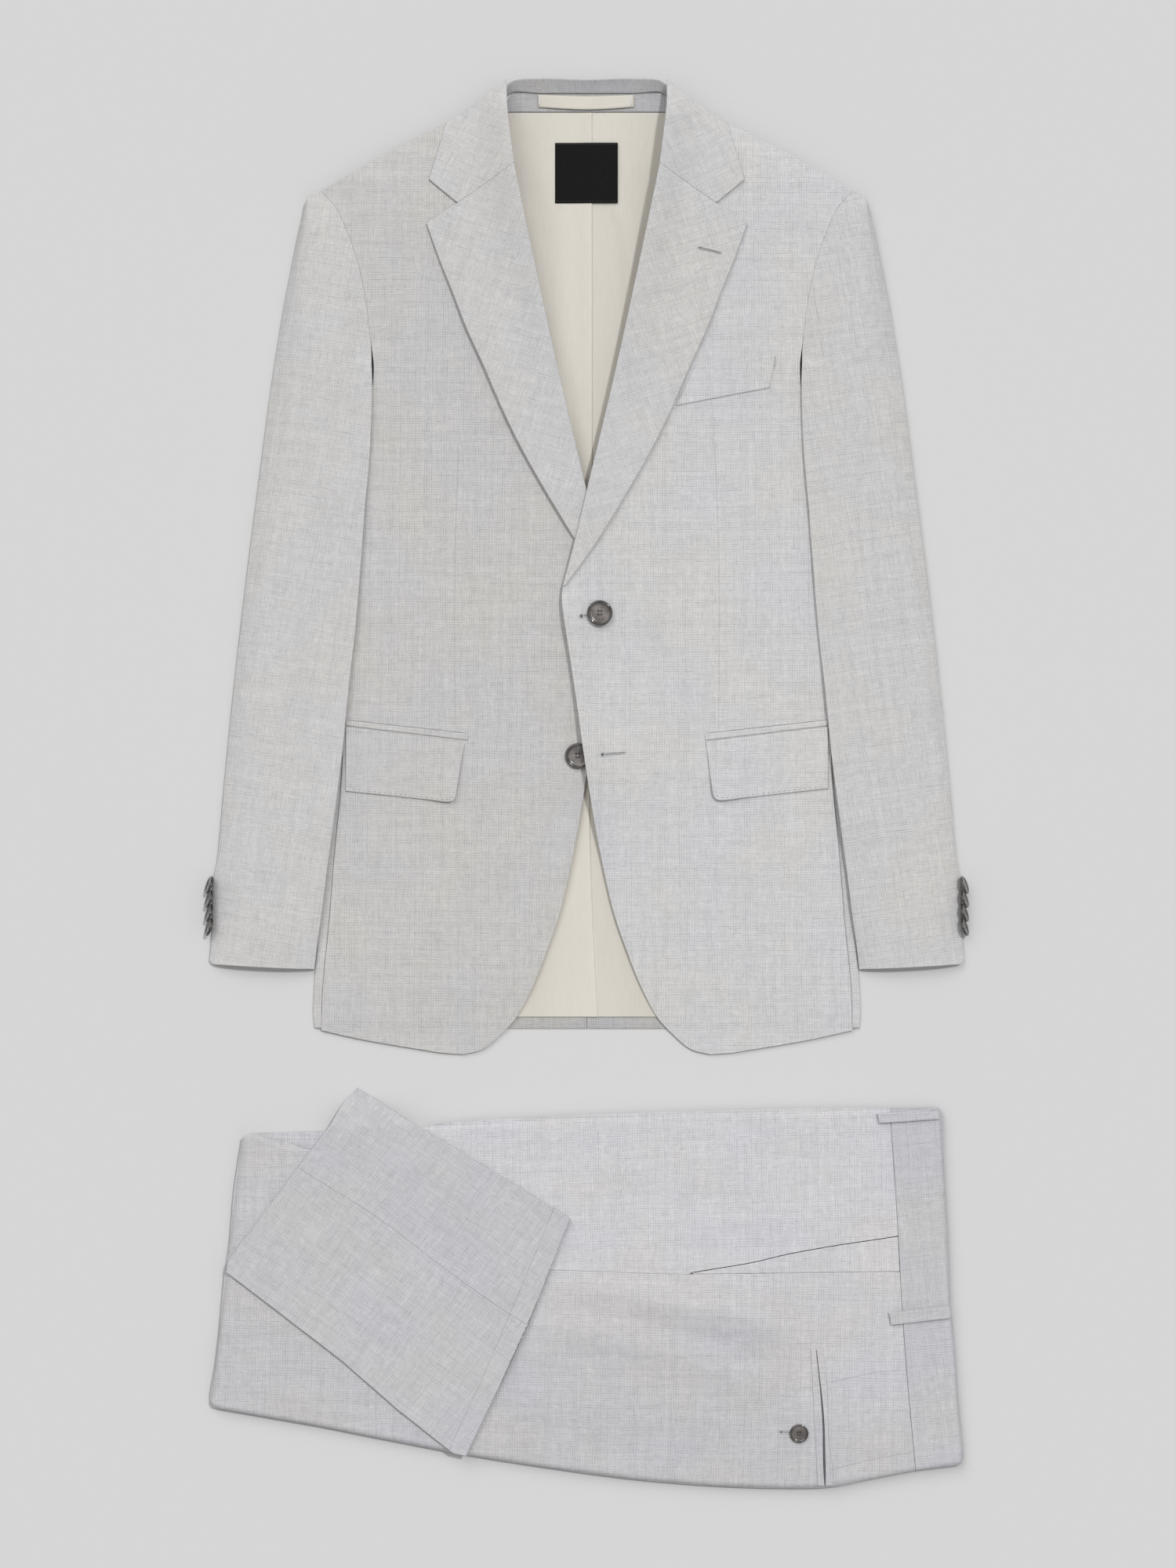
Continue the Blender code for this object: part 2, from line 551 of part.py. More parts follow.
def sleeve(side):
    """The sleeve's two pieces: the upper one domed, over an under one that lies flat."""
    grid = sleeve_grid()
    u, v = grid[..., 0], grid[..., 1]
    floor = under_sleeve_floor(u, v)
    lower_top = floor + SHELL
    panel(side_name("under_sleeve", side), place_jacket(grid, side), lower_top, SHELL, "wool")
    across = spaced(SLEEVE_COLUMNS, SLEEVE_ENDS)[None, :]
    least = lower_top + GAP + FRONT
    inner = np.where(v[:, :1] > ARM_REACH[0], body_height(u[:, :1], v[:, :1]), least[:, :1])
    inner = np.maximum(inner, least[:, :1])
    base = inner * (1 - across) + SLEEVE_EDGE_TOP * across
    crown = read_table(SLEEVE_SECTIONS, "crown", v)
    dome = base + (np.maximum(crown, base) - base) * (1 - np.abs(2 * across - 1) ** SLEEVE_DOME)
    panel(side_name("top_sleeve", side), place_jacket(grid, side), np.maximum(dome, least), FRONT,
          "wool")


# u, v of the front's buttons and of the cuffs' lowest button.
UPPER_BUTTON = (10.4, 333.3)
LOWER_BUTTON = (-7.2, 219.2)
CUFF_BUTTON = (302.6, 81.9)
# Degrees the cuff buttons lean out from upright, and turn so that each overlaps the next.
CUFF_LEAN = 17.0
CUFF_SHINGLE = 15.0
CUFF_RAISE = 0.5
# Diameter of a thread hole, how far it is from the middle, and the rim's part of the radius.
HOLE = 1.6
HOLE_SPREAD = 2.0
RIM = 0.16
# Steps in a turn of the front's buttons and of the cuffs'.
BUTTON_STEPS = 20
SMALL_STEPS = 12
MERGE = 0.0001


def button(name, size, centre, turn=(0.0, 0.0, 0.0), holes=True):
    """A button: its profile turned about its axis, dished inside the rim, with four thread holes.

    centre is the middle of its thickness, in millimetres in the object's frame.
    """
    radius, half = size[0] / 2, size[1] / 2
    dish = half * 0.45
    profile = [(0.0, dish), (radius * (1 - 2 * RIM), dish), (radius * (1 - RIM), half),
               (radius * (1 - RIM / 3), half * 0.85), (radius, half * 0.2), (radius * 0.93, -half * 0.6),
               (radius * 0.6, -half), (0.0, -half)]
    mesh = bpy.data.meshes.new(name)
    mesh.from_pydata([(r * MM, 0.0, z * MM) for r, z in profile],
                     [(i, i + 1) for i in range(len(profile) - 1)], [])
    disc = add_piece(name, mesh, "horn")
    disc.location = [c * MM for c in centre]
    disc.rotation_euler = [math.radians(angle) for angle in turn]
    turned = disc.modifiers.new("turned", "SCREW")
    turned.steps = turned.render_steps = BUTTON_STEPS if holes else SMALL_STEPS
    turned.use_merge_vertices = True
    turned.merge_threshold = MERGE
    turned.use_smooth_shade = True
    if holes:
        for number in range(4):
            angle = math.radians(45 + 90 * number)
            cutter = bpy.data.objects.new(f"{name}_hole_{number}", hole_mesh(size[1]))
            cutter.location = disc.location
            cutter.location.x += HOLE_SPREAD * math.cos(angle) * MM
            cutter.location.y += HOLE_SPREAD * math.sin(angle) * MM
            cutter.hide_render = True
            cutter.display_type = "WIRE"
            bpy.data.collections["cutters"].objects.link(cutter)
            cut = disc.modifiers.new(f"hole_{number}", "BOOLEAN")
            cut.operation = "DIFFERENCE"
            cut.solver = "EXACT"
            cut.object = cutter


def hole_mesh(depth):
    form = bmesh.new()
    bmesh.ops.create_cone(form, cap_ends=True, segments=6, radius1=HOLE / 2 * MM,
                          radius2=HOLE / 2 * MM, depth=3 * depth * MM)
    mesh = bpy.data.meshes.new("hole")
    form.to_mesh(mesh)
    form.free()
    return mesh


def button_seat(u, v, side, radius):
    """The highest point of the cloth under a button's disc."""
    across = np.linspace(-radius, radius, 9)
    du, dv = np.meshgrid(across, across)
    grid = np.stack([side * u + du, v + dv], axis=-1)
    return float(front_height(grid, side).max())


def jacket_buttons():
    for name, (u, v), side in (("front_button_upper", UPPER_BUTTON, 1),
                               ("front_button_lower", LOWER_BUTTON, -1)):
        seat = button_seat(u, v, side, FRONT_BUTTON[0] / 2)
        button(name, FRONT_BUTTON,
               (JACKET_X + u, JACKET_Y + v, seat + GAP + FRONT_BUTTON[1] / 2))
    for side in (1, -1):
        for number in range(4):
            v = CUFF_BUTTON[1] + CUFF_PITCH * number
            centre = (JACKET_X + side * CUFF_BUTTON[0], JACKET_Y + v, SMALL_BUTTON[0] / 2 + CUFF_RAISE)
            button(side_name(f"cuff_button_{number + 1}", side), SMALL_BUTTON, centre,
                   (0.0, side * (90 - CUFF_LEAN), side * CUFF_SHINGLE), holes=False)


def edge_distance(x, y, outline):
    """Distance from points to a closed outline, positive inside it."""
    start = np.array(outline, float)
    end = np.roll(start, -1, axis=0)
    point = np.stack([x, y], axis=-1)[..., None, :]
    along = end - start
    t = np.clip(((point - start) * along).sum(-1) / (along**2).sum(-1), 0, 1)
    nearest = np.linalg.norm(point - start - t[..., None] * along, axis=-1).min(-1)
    crosses = ((start[:, 1] > point[..., 1]) != (end[:, 1] > point[..., 1]))
    rise = np.where(along[:, 1] == 0, 1.0, along[:, 1])
    reach = start[:, 0] + (point[..., 1] - start[:, 1]) * along[:, 0] / rise
    inside = (crosses & (point[..., 0] < reach)).sum(-1) % 2 == 1
    return np.where(inside, nearest, -nearest)


# Rings of the pile's edge, from the table up: (distance in from the trousers' outline, height).
PILE_RINGS = [(3.8, 0.0), (3.2, 0.6), (3.2, 2.0), (3.9, 2.4), (3.2, 2.8), (3.2, 3.7), (4.6, 4.4),
              (7.0, 5.8), (13.0, 7.5), (20.0, PILE_TOP)]
PILE_POINTS = 60
# Height of the upper layer's edge, and how far in from it the layer turns down.
PANEL_EDGE = 3.4
PANEL_ROUND = 3.5


def inset(points, distance):
    """A closed outline's points moved inwards along its normals; the outline runs clockwise."""
    along = np.roll(points, -1, axis=0) - np.roll(points, 1, axis=0)
    along /= np.linalg.norm(along, axis=1)[:, None]
    inward = np.stack([along[:, 1], -along[:, 0]], axis=1)
    return points + inward * distance


def trouser_pile():
    """The trousers' hidden layers as one rounded slab, with the layers' edges as ridges round it."""
    outline = polyline(TROUSER_OUTLINE + TROUSER_OUTLINE[:1], PILE_POINTS + 1)[:-1]
    form = bmesh.new()
    rings = []
    for distance, height in PILE_RINGS:
        ring = place_trousers(inset(outline, distance))
        rings.append([form.verts.new((x * MM, y * MM, height * MM)) for x, y in ring])
    for lower, upper in zip(rings, rings[1:]):
        for i in range(PILE_POINTS):
            j = (i + 1) % PILE_POINTS
            form.faces.new((lower[i], lower[j], upper[j], upper[i]))
    form.faces.new(rings[0])
    form.faces.new(rings[-1])
    bmesh.ops.recalc_face_normals(form, faces=form.faces)
    mesh = bpy.data.meshes.new("trouser_pile")
    form.to_mesh(mesh)
    form.free()
    add_piece("trouser_pile", mesh, "wool")


def cover_height(grid, thick):
    """Top of a layer laid over the pile, turned down round its edge."""
    away = edge_distance(grid[..., 0], grid[..., 1], TROUSER_OUTLINE)
    full = PILE_TOP + GAP + thick
    fall = np.exp(-(np.clip(away, 0, None) / PANEL_ROUND) ** 2)
    return full - (full - PANEL_EDGE) * fall


def cover(name, low, high, left, right, down, across):
    """A trouser panel between four curves, laid over the pile."""
    grid = patch(low, high, left, right, down, across)
    panel(name, place_trousers(grid), cover_height(grid, PANEL), PANEL, "wool")


def outline_run(first, last):
    """The outline's points from index first to last, clockwise."""
    count = len(TROUSER_OUTLINE)
    steps = (last - first) % count
    return [TROUSER_OUTLINE[(first + k) % count] for k in range(steps + 1)]


# How far the pocket's facing stays short of the waistband's seam.
FACING_SHORT = 0.6


def trouser_panels():
    """The upper leg's front and back as they show, the slant pocket and the waistband."""
    seam_left = curve(SIDE_SEAM, 120)
    slant = curve(POCKET_SLANT, 60)
    band = curve(BAND_SEAM, 120)
    up = moved(band[::-1], -GAP)
    pocket_y, seam_y = slant[-1, 1], seam_left[-1, 1]
    band_upper = up[up[:, 1] > pocket_y + GAP]
    band_lower = up[up[:, 1] < seam_y - GAP]
    edge_top = curve(LAYER_EDGE[1:] + outline_run(5, 7) + [(242.0, -260.2)], 240)
    low = np.concatenate([moved(seam_left[seam_left[:, 0] < slant[0, 0] - 1.0], 0, GAP / 2),
                          moved(slant, 0.0, GAP)])
    low = polyline(low, 240)
    fold = curve([(-291.0, -389.8), (-288.0, -370.0), (-284.0, -325.0), tuple(edge_top[0])], 60)
    low[0], low[-1] = fold[0], band_upper[0]
    edge_top[-1] = band_upper[-1]
    cover("trouser_front", low, edge_top, fold, band_upper, rimmed(6, 128.0, low=False),
          rimmed(14, 530.0, high=False))
    bottom = curve(outline_run(18, 28)[::-1], 240)
    top = moved(polyline(seam_left, 240), 0.0, -GAP / 2)
    left = curve([tuple(bottom[0]), (-303.2, -495.0), (-298.2, -460.2), tuple(top[0])], 80)
    bottom[-1], top[-1] = band_lower[0], band_lower[-1]
    cover("trouser_back", bottom, top, left, band_lower, rimmed(7, 150.0, high=False),
          rimmed(14, 555.0, high=False))
    facing_low = polyline(moved(seam_left[seam_left[:, 0] > slant[0, 0]], 0.0, GAP / 2))
    facing_high = polyline(moved(slant, -FACING_SHORT, -GAP))
    facing_low[-1, 0] = facing_high[-1, 0]
    grid = patch(facing_low, facing_high, polyline([facing_low[0], facing_high[0]]),
                 polyline([facing_low[-1], facing_high[-1]]), spaced(3, 0.0), spaced(9, 0.0))
    panel("pocket_facing", place_trousers(grid), cover_height(grid, PANEL) - GAP, PANEL - GAP, "wool")
    waist = curve(outline_run(8, 17), 200)
    inner = band + (GAP, 0.0)
    waist_low = polyline([inner[-1], waist[-1]])
    waist_high = polyline([inner[0], waist[0]])
    grid = patch(waist_low, waist_high, inner[::-1], waist[::-1], rimmed(14, 290.0),
                 rimmed(4, 38.0, low=False))
    panel("waistband", place_trousers(grid), cover_height(grid, BAND_THICK), BAND_THICK, "wool")


# How far past the pile's outline the leg comes down to the table, from inside it outwards.
LEG_DROOP = (-26.0, 1.0)
LEG_FOOT = 0.2


def leg_height(grid):
    """Top of the folded-up leg: level on the pile, and down to the table where it runs past it."""
    away = edge_distance(grid[..., 0], grid[..., 1], TROUSER_OUTLINE)
    base = LEG_FOOT + (PANEL_TOP + GAP - LEG_FOOT) * soft_step(away, *LEG_DROOP)
    return base + LEG_THICK


def folded_leg():
    """The other leg, folded up across the pile: each half is two walls thick, parted by its seam."""
    seam = curve(LEG_SEAM, 120)
    crease = curve(LEG_CREASE, 200)
    split = int(np.argmin(np.linalg.norm(crease - seam[0], axis=1)))
    seam[0] = crease[split]
    hem = polyline(LEG_HEM, 200)
    part = int(np.argmin(np.linalg.norm(hem - seam[-1], axis=1)))
    seam[-1] = hem[part]
    upper_low = moved(seam, 0.1, GAP / 2)
    upper_high = polyline(LEG_UPPER, 120)
    left, right = polyline(crease[split:]), polyline(hem[:part + 1][::-1])
    left[0], right[0] = upper_low[0], upper_low[-1]
    left[-1], right[-1] = upper_high[0], upper_high[-1]
    grid = patch(upper_low, upper_high, left, right, spaced(8, 0.5), spaced(14, 0.4))
    panel("folded_leg_front", place_trousers(grid), leg_height(grid), LEG_THICK, "wool")
    lower_high = moved(seam, -0.1, -GAP / 2)
    lower_low = polyline(LEG_LOWER + LEG_HEM[-1:], 120)
    left, right = polyline(crease[:split + 1]), polyline(hem[part:][::-1])
    left[0], right[0] = lower_low[0], lower_low[-1]
    left[-1], right[-1] = lower_high[0], lower_high[-1]
    grid = patch(lower_low, lower_high, left, right, spaced(8, 0.5), spaced(14, 0.4))
    panel("folded_leg_back", place_trousers(grid), leg_height(grid), LEG_THICK, "wool")


# x, y of each belt loop's corners: low left and right, then high left and right.
BELT_LOOPS = {
    "belt_loop_front": [(232.9, -271.8), (281.6, -268.4), (231.1, -263.7), (280.6, -261.4)],
    "belt_loop_side": [(242.4, -433.1), (291.0, -427.5), (240.5, -423.0), (290.0, -418.0)],
}
LOOP_THICK = 1.2
# x, y down the back pocket: its left edge, its slit and its right edge.
POCKET_LEFT = [(178.1, -451.4), (181.0, -508.0), (183.8, -562.6)]
POCKET_SLIT = [(182.5, -452.7), (186.3, -487.9), (188.2, -511.2), (188.8, -538.3), (189.5, -562.6)]
POCKET_RIGHT = [(187.6, -451.4), (191.4, -482.9), (192.0, -511.2), (193.3, -532.7), (195.8, -549.7),
                (195.8, -562.2)]
POCKET_BUTTON = (168.7, -520.1)
JET = 0.9


def trouser_trim():
    """Belt loops on the waistband, and the back pocket's two jets and its button."""
    for name, (low_left, low_right, high_left, high_right) in BELT_LOOPS.items():
        grid = patch(polyline([low_left, low_right]), polyline([high_left, high_right]),
                     polyline([low_left, high_left]), polyline([low_right, high_right]), spaced(3, 0.0),
                     rimmed(4, 49.0, low=False))
        panel(name, place_trousers(grid), cover_height(grid, BAND_THICK) + LAY + LOOP_THICK,
              LOOP_THICK, "wool")
    slit = curve(POCKET_SLIT, 60)
    sides = (("back_pocket_jet_outer", curve(POCKET_LEFT, 60), moved(slit, -GAP / 2)),
             ("back_pocket_jet_inner", moved(slit, GAP / 2), curve(POCKET_RIGHT, 60)))
    for name, left, right in sides:
        left, right = left[::-1], right[::-1]
        grid = patch(polyline([left[0], right[0]]), polyline([left[-1], right[-1]]), left, right,
                     rimmed(8, 112.0, high=False), spaced(2, 0.0))
        panel(name, place_trousers(grid), cover_height(grid, PANEL) + GAP + JET, JET, "wool")
    x, y = place_trousers(np.array(POCKET_BUTTON))
    button("pocket_button", SMALL_BUTTON, (x, y, PANEL_TOP + GAP + SMALL_BUTTON[1] / 2))


def main():
    clear_scene()
    for name in ("suit", "cutters"):
        bpy.context.scene.collection.children.link(bpy.data.collections.new(name))
    for side in (1, -1):
        back(side)
        side_panel(side)
        back_lining(side)
        front(side)
        lapel(side)
        collar(side)
        sleeve(side)
        hip_pocket(side)
    collar_stand()
    neck()
    chest_welt()
    jacket_buttons()
    trouser_pile()
    trouser_panels()
    folded_leg()
    trouser_trim()


main()
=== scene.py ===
"""How the suit looks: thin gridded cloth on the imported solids, its weave, sewing, buttons and light.

Lengths are in millimetres until a mesh is made. Jacket tables are measured from the jacket's centre
line (u) and up from the back hem (v), for the side at +X, and the other side mirrors them. Trouser
tables are in the object's own x and y.
"""
import math

import bpy
import numpy as np
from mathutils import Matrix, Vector


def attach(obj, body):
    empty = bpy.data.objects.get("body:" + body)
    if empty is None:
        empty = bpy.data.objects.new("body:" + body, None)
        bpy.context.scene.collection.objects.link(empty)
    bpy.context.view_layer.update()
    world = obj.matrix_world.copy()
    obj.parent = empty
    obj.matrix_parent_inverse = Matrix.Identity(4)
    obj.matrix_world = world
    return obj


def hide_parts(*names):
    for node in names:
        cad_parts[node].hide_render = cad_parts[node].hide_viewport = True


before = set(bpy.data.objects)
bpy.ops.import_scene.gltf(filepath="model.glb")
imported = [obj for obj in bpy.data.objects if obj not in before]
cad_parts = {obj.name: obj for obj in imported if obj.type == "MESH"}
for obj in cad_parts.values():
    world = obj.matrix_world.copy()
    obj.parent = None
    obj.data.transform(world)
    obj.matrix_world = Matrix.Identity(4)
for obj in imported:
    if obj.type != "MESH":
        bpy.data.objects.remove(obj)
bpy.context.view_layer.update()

MM = 0.001
# The space between sewn pieces, and how thick the shell's, fronts', lining's and trims' cloth is.
GAP = 0.3
SHELL = 1.2
FRONT = 1.8
LINING = 1.0
TRIM = 1.0
# How far a layer that follows a curved one stays above it.
LAY = 0.8

# Where the jacket's centre line and back hem lie in the object's frame.
JACKET_X = 0.0
JACKET_Y = -196.82
# Trouser tables are moved by this much in x and y, which centres the whole on the origin.
TROUSERS_MOVE = (1.1, 0.08)

# Heights of the jacket's top surface above the table.
EDGE_TOP = 5.2
LINING_TOP = SHELL + GAP + LINING

# Heights of the folded trousers.
PILE_TOP = 8.0
PANEL = 1.5
PANEL_TOP = PILE_TOP + GAP + PANEL
LEG_THICK = 3.2
BAND_THICK = 2.6

# Buttons: (diameter, thickness) of the front's, and of the cuffs' and the back pocket's.
FRONT_BUTTON = (20.3, 3.6)
SMALL_BUTTON = (15.0, 2.6)
# Distance from one cuff button to the next.
CUFF_PITCH = 11.2

# u, v down the shoulder from the neck corner to the sleeve head.
SHOULDER = [(63.9, 759.8), (83.5, 744.7), (111.8, 727.0), (158.4, 703.4), (213.0, 671.8)]
# u, v down the armhole seam.
ARMHOLE = [(213.0, 671.8), (201.3, 658.4), (192.5, 640.1), (183.0, 612.4), (176.7, 580.9),
           (173.6, 555.7), (170.8, 527.0)]
# u, v down the side seam, from under the arm to the hem.
SIDE = [(170.8, 527.0), (176.0, 500.0), (192.0, 482.0), (194.0, 400.0), (193.6, 320.0),
        (195.0, 250.0), (197.2, 196.6), (202.5, 139.9), (207.0, 83.2), (211.4, 39.1), (213.3, -1.3)]
# u, v down the folded outer edge of the side panel.
SIDE_FOLD = [(204.0, 470.0), (206.0, 400.0), (206.0, 320.0), (207.0, 250.0), (209.0, 196.0),
             (212.0, 139.9), (215.0, 83.2), (218.3, 46.6), (220.0, 12.0), (219.0, 0.6)]
# u, v down the roll line, from the neck to where it meets the front edge.
ROLL = [(63.9, 759.8), (63.6, 739.0), (58.0, 691.1), (46.3, 635.0), (30.6, 562.0), (19.5, 512.8),
        (3.8, 447.3), (-10.7, 386.8), (-19.4, 354.0)]
# u, v down the front edge and round the cutaway to the hem's lowest point.
FRONT_EDGE = [(-19.4, 354.0), (-20.0, 343.0), (-18.6, 330.8), (-12.3, 289.8), (-7.9, 259.6),
              (-2.8, 223.0), (4.1, 177.7), (9.8, 146.2), (21.1, 95.1), (33.1, 59.9), (43.2, 34.6),
              (56.4, 9.4), (67.7, -3.1), (83.5, -16.4), (99.2, -20.5)]
# u, v along the front hem from the cutaway to the side seam.
FRONT_HEM = [(99.2, -20.5), (117.5, -19.2), (133.2, -16.7), (158.4, -12.6), (183.6, -8.0), (213.3, -1.3)]
# u, v down the lapel's outer edge, from the peak to its foot.
LAPEL_EDGE = [(128.2, 644.5), (117.2, 614.2), (106.8, 588.4), (96.7, 562.0), (83.2, 532.4),
              (66.8, 494.6), (50.7, 462.0), (21.7, 412.0), (5.0, 385.6), (-16.6, 356.0)]
NOTCH = (103.3, 660.6)
GORGE_END = (58.0, 690.8)
# u, v down the collar's outer edge, from the shoulder to its point.
COLLAR_EDGE = [(112.5, 726.0), (116.9, 710.6), (121.3, 695.5), (126.0, 679.4)]
# u, v up the free inner edge of the sleeve, from the cuff to the armhole.
SLEEVE_INNER = [(217.7, 47.9), (215.5, 66.2), (212.0, 90.1), (207.6, 125.4), (202.9, 159.4),
                (195.6, 215.5), (189.9, 272.2), (184.3, 322.6), (179.9, 376.1), (176.7, 418.3),
                (172.9, 460.5), (171.2, 499.0), (171.1, 527.0)]
# u, v up the sleeve's outer edge, from the cuff to the sleeve head.
SLEEVE_OUTER = [(303.0, 55.0), (301.0, 78.0), (300.0, 118.0), (296.7, 136.0), (291.1, 196.6), (284.8, 259.6),
                (277.8, 322.6), (270.3, 385.6), (262.1, 448.6), (253.9, 511.6), (244.1, 574.6),
                (238.1, 606.1), (231.8, 637.6), (226.5, 660.5)]
# u, v across the sleeve head, from the armhole seam to the outer edge.
SLEEVE_HEAD = [(213.4, 671.6), (221.4, 668.4), (226.5, 660.5)]

# v, half width, crown height of the jacket lying shut, from the hem to the neck.
BODY_SECTIONS = {
    "v": (-25.0, -3.0, 4.0, 30.0, 150.0, 300.0, 450.0, 560.0, 640.0, 680.0, 705.0, 730.0, 750.0, 765.0),
    "half": (216.0, 216.0, 216.0, 213.0, 206.0, 200.0, 206.0, 232.0, 236.0, 222.0, 176.0, 122.0, 86.0, 70.0),
    "crown": (2.8, 3.2, 4.0, 6.0, 8.0, 9.0, 11.0, 14.0, 17.0, 18.0, 17.0, 15.0, 11.0, 8.0),
}
# v, lift of the roll over the body there.
ROLL_LIFT = {
    "v": (330.0, 360.0, 430.0, 520.0, 620.0, 690.0, 735.0, 752.0, 765.0),
    "lift": (0.0, 0.6, 2.0, 4.5, 7.0, 10.0, 12.0, 8.0, 3.0),
}
ROLL_SPREAD = 20.0
# v, lift of the upper front where it laps the lower one.
LAP_LIFT = {
    "v": (100.0, 170.0, 200.0, 300.0, 345.0, 380.0, 440.0, 500.0, 560.0),
    "lift": (0.0, 0.6, 2.4, 2.6, 4.8, 5.4, 5.4, 2.0, 0.0),
}
# The upper front's rise over the covered button, where it is, and its spread along u and v.
BUTTON_RISE = 4.2
BUTTON_RISE_AT = (-1.0, 219.0)
BUTTON_SPREAD = (24.0, 32.0)
# u up to which the lap's lift is full, and where it has faded.
LAP_FLAT = 34.0
LAP_FADE = 80.0

# x, y round the trousers as they lie, from the upper left corner and clockwise.
TROUSER_OUTLINE = [(-278.0, -281.3), (-272.6, -277.5), (-239.6, -276.6), (-207.4, -275.6),
                   (-132.5, -273.1), (-31.7, -267.4), (100.6, -262.4), (200.0, -260.4),
                   (281.4, -259.9), (283.6, -262.5), (285.2, -299.6), (289.0, -365.7),
                   (290.9, -416.7), (294.1, -452.0), (297.2, -498.0), (301.0, -535.8),
                   (300.2, -545.0), (297.0, -547.2), (261.9, -551.6), (229.2, -557.9),
                   (195.8, -564.4), (156.1, -565.4), (100.6, -563.5), (34.5, -557.9),
                   (-31.7, -549.0), (-97.8, -538.6), (-171.5, -524.5), (-212.5, -516.3),
                   (-300.4, -501.0), (-303.8, -497.0), (-298.8, -460.2), (-289.3, -383.4),
                   (-283.7, -331.1)]
# x, y of the side seam, from the folded edge to the waistband.
SIDE_SEAM = [(-291.6, -390.0), (-160.0, -389.5), (-28.5, -389.6), (69.1, -392.8), (141.6, -392.2),
             (247.6, -390.9)]
# x, y down the waistband's seam.
BAND_SEAM = [(242.2, -260.6), (242.4, -269.3), (248.1, -358.8), (251.2, -416.7), (255.6, -478.5),
             (262.4, -551.4)]
# x, y of the slanting pocket's opening, from the side seam to the waistband.
POCKET_SLANT = [(83.0, -391.6), (132.1, -383.4), (156.1, -377.7), (189.5, -371.4), (247.4, -362.6)]
# x, y of the upper layer's edge at the top left, where the layer below shows.
LAYER_EDGE = [(-284.6, -331.0), (-278.0, -284.5), (-269.2, -279.8), (-256.6, -282.6),
              (-240.2, -287.6), (-222.5, -293.3), (-190.0, -290.0), (-132.5, -274.8)]
# x, y round the folded-up leg: its upper edge, hem, lower edge and crease.
LEG_UPPER = [(-185.4, -244.6), (-157.7, -261.1), (-88.0, -303.0), (-14.6, -347.8)]
LEG_HEM = [(-14.6, -347.8), (-38.0, -403.5), (-69.5, -476.0), (-97.6, -537.6)]
LEG_LOWER = [(-289.3, -390.6), (-245.9, -423.7), (-196.1, -462.1), (-151.4, -501.2), (-108.0, -535.4)]
LEG_CREASE = [(-289.3, -390.6), (-287.4, -382.0), (-261.6, -346.8), (-221.9, -293.3),
              (-206.8, -273.7), (-197.3, -257.4), (-185.4, -244.6)]
LEG_SEAM = [(-232.0, -307.0), (-215.0, -317.8), (-171.5, -344.9), (-120.5, -383.4),
            (-75.1, -416.1), (-47.6, -433.6)]


def path_run(points):
    """Distance along a path to each of its points."""
    return np.concatenate([[0], np.cumsum(np.linalg.norm(np.diff(points, axis=0), axis=1))])


def curve(table, count):
    """Points evenly spaced along a smooth curve through the table's points."""
    knots = np.array(table, float)
    if len(knots) == 2:
        return knots[0] + (knots[1] - knots[0]) * np.linspace(0, 1, count)[:, None]
    place = np.concatenate([[0], np.cumsum(np.linalg.norm(np.diff(knots, axis=0), axis=1) ** 0.5)])
    slope = np.gradient(knots, place, axis=0)
    fine = np.linspace(0, place[-1], 40 * len(knots))
    k = np.clip(np.searchsorted(place, fine, side="right") - 1, 0, len(knots) - 2)
    step = (place[k + 1] - place[k])[:, None]
    t = (fine[:, None] - place[k][:, None]) / step
    points = ((2 * t**3 - 3 * t**2 + 1) * knots[k] + (t**3 - 2 * t**2 + t) * step * slope[k]
              + (3 * t**2 - 2 * t**3) * knots[k + 1] + (t**3 - t**2) * step * slope[k + 1])
    return polyline(points, count)


def polyline(points, count=60):
    """Even points along straight lines, whose corners stay sharp."""
    knots = np.array(points, float)
    run = path_run(knots)
    even = np.linspace(0, run[-1], count)
    return np.stack([np.interp(even, run, column) for column in knots.T], axis=1)


def resample(points, places):
    """Points of an even curve at places from 0 to 1 along it."""
    even = np.linspace(0, 1, len(points))
    return np.stack([np.interp(places, even, column) for column in points.T], axis=1)


def patch(low, high, left, right, down, across):
    """A grid of points filling four boundary curves (a Coons patch).

    low and high run left to right, left and right run from low to high. down holds the places of
    the grid's lines from low to high, and across those from left to right, from 0 to 1.
    """
    s = down[:, None, None]
    t = across[None, :, None]
    a, b = resample(low, t[0, :, 0])[None], resample(high, t[0, :, 0])[None]
    c, d = resample(left, s[:, 0, 0])[:, None], resample(right, s[:, 0, 0])[:, None]
    corners = ((1 - s) * (1 - t) * low[0] + (1 - s) * t * low[-1]
               + s * (1 - t) * high[0] + s * t * high[-1])
    return (1 - s) * a + s * b + (1 - t) * c + t * d - corners


def between(left, right, down, across):
    """A grid between two curves that run from low to high, with straight ends."""
    ends = (polyline([left[k], right[k]]) for k in (0, -1))
    return patch(*ends, left, right, down, across)


def stacked(low, high, down, across):
    """A grid between two curves that run from left to right, with straight ends."""
    ends = (polyline([low[k], high[k]]) for k in (0, -1))
    return patch(low, high, *ends, down, across)


def raised(flat, height):
    """Flat points with a height as their third number."""
    return np.concatenate([flat, np.broadcast_to(height, flat.shape[:-1])[..., None]], axis=-1)


def place_jacket(grid, side):
    """Jacket u, v points to the object's x and y; side is 1 at +X and -1 at -X."""
    return np.stack([JACKET_X + side * grid[..., 0], JACKET_Y + grid[..., 1]], axis=-1)


def read_table(table, key, at):
    """A column of a table that goes by v, read between its rows."""
    return np.interp(at, table["v"], table[key])


def soft_step(value, low, high):
    """Rises smoothly from 0 at low to 1 at high."""
    t = np.clip((value - low) / (high - low), 0, 1)
    return t * t * (3 - 2 * t)


